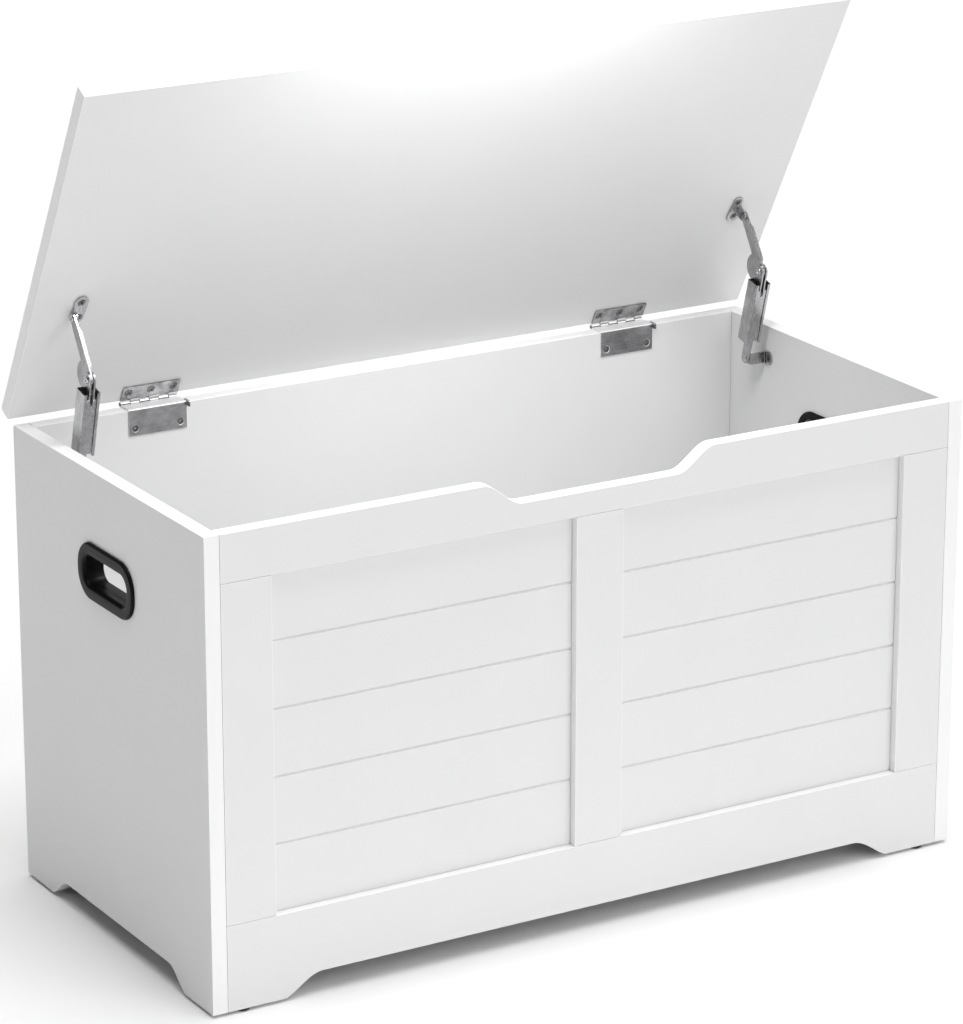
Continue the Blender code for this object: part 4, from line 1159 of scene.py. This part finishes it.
def make_stay(side, sign):
    """One folding stay: brackets, case with its works, arm and rivets."""
    low = Vector(JOINTS[f"{side}_stay_lower_pivot"]["pos_m"])
    elbow = Vector(JOINTS[f"{side}_stay_elbow"]["pos_m"])
    first, last = node_box(f"{side}_stay_top_rivet")
    top = Vector((elbow.x, (first.y + last.y) / 2, (first.z + last.z) / 2))
    case = tilt_matrix(low, low, elbow)
    link = tilt_matrix(elbow, elbow, top)
    case_body = f"{side}_stay_case"
    link_body = f"{side}_stay_link"
    length = (elbow - low).length
    reach = (top - elbow).length

    make_side_bracket(side, sign, low)
    make_inner_bar(side, case_body, case, length)
    make_housing(side, case_body, case)
    make_spring(side, case_body, case)
    make_follower(side, case_body, case)
    make_arm(side, link_body, link, reach)
    make_lid_bracket(side, sign)

    for name, matrix, at_length, body in (
        ("elbow", case, length, case_body), ("lower", case, 0.0, case_body), ("top", link, reach, link_body),
    ):
        node = f"{side}_stay_{name}_rivet"
        start, end = local_box(node, matrix)
        heads = (True, True) if name != "top" else (sign < 0, sign > 0)
        add_rivet(f"{side}_stay_{name}_eyelet", matrix, at_length, (start.x, end.x), body, node, heads)


# ---------------------------------------------------------------- studio
def make_floor():
    """Wide pale studio floor."""
    look = Look("studio_floor", Roughness=0.9)
    cloud = look.noise(3, 2)
    look.drive("Base Color", look.blend(look.spread(cloud, 0, 1), (0.90, 0.90, 0.90), (0.91, 0.91, 0.91)))
    mesh = bpy.data.meshes.new("floor")
    half = FLOOR_HALF
    corners = [(-half, -half, 0), (half, -half, 0), (half, half, 0), (-half, half, 0)]
    mesh.from_pydata(corners, [], [(0, 1, 2, 3)])
    mesh.materials.append(look.material)
    floor = bpy.data.objects.new("studio_floor", mesh)
    floor.location.z = CAD_BOX[0][2] - FLOOR_DROP
    bpy.context.collection.objects.link(floor)


def add_light(name, light, toward, place=(0.0, 0.0, 0.0)):
    """Set a lamp at place so that it shines along a direction."""
    item = bpy.data.objects.new(name, light)
    item.location = place
    item.rotation_euler = Vector(toward).to_track_quat("-Z", "Y").to_euler()
    bpy.context.collection.objects.link(item)


def add_soft_light(name, toward, spread, strength):
    """Wide, even studio light that reaches everything along one direction."""
    light = bpy.data.lights.new(name, "SUN")
    light.angle = math.radians(spread)
    light.energy = strength
    add_light(name, light, toward)


def make_light():
    """Dim surroundings, a broad light overhead, one from high in front and a small fill over the opening."""
    world = bpy.data.worlds.new("studio")
    world.use_nodes = True
    background = world.node_tree.nodes["Background"]
    background.inputs["Color"].default_value = (1.0, 1.0, 1.0, 1.0)
    background.inputs["Strength"].default_value = WORLD_LIGHT
    bpy.context.scene.world = world
    add_soft_light("overhead_light", TOP_TOWARD, TOP_SPREAD, TOP_LIGHT)
    add_soft_light("front_light", FRONT_TOWARD, FRONT_SPREAD, FRONT_LIGHT)
    fill = bpy.data.lights.new("inside_fill", "AREA")
    fill.shape = "RECTANGLE"
    fill.size, fill.size_y = FILL_SIZE
    fill.spread = math.radians(FILL_SPREAD)
    fill.energy = FILL_LIGHT
    add_light("inside_fill", fill, FILL_TOWARD, (0.0, FRONT + FILL_BEHIND_FRONT, RIM + FILL_ABOVE_RIM))


def make_camera():
    """Camera at the fitted viewing angle."""
    azimuth = math.radians(CAMERA_AZIMUTH)
    down = math.radians(CAMERA_DOWN)
    ahead = Vector((
        math.sin(azimuth) * math.cos(down), math.cos(azimuth) * math.cos(down), -math.sin(down)))
    lens = bpy.data.cameras.new("camera")
    lens.sensor_width = 36.0
    lens.lens = CAMERA_LENS
    lens.clip_end = 100.0
    camera = bpy.data.objects.new("camera", lens)
    camera.location = CAMERA_AT
    camera.rotation_euler = ahead.to_track_quat("-Z", "Y").to_euler()
    bpy.context.collection.objects.link(camera)
    bpy.context.scene.camera = camera


make_side_boards()
make_box_boards()
make_front_rails()
make_grooved_boards()
make_lid_board()
make_glide_pads()
make_handles()
for side_name, side_sign in SIDES:
    make_body_leaf(side_name)
    make_lid_leaf(side_name)
    make_pin(side_name)
    make_stay(side_name, side_sign)
make_floor()
make_light()
make_camera()
bpy.context.scene.view_settings.view_transform = "Standard"
bpy.context.scene.cycles.use_denoising = True
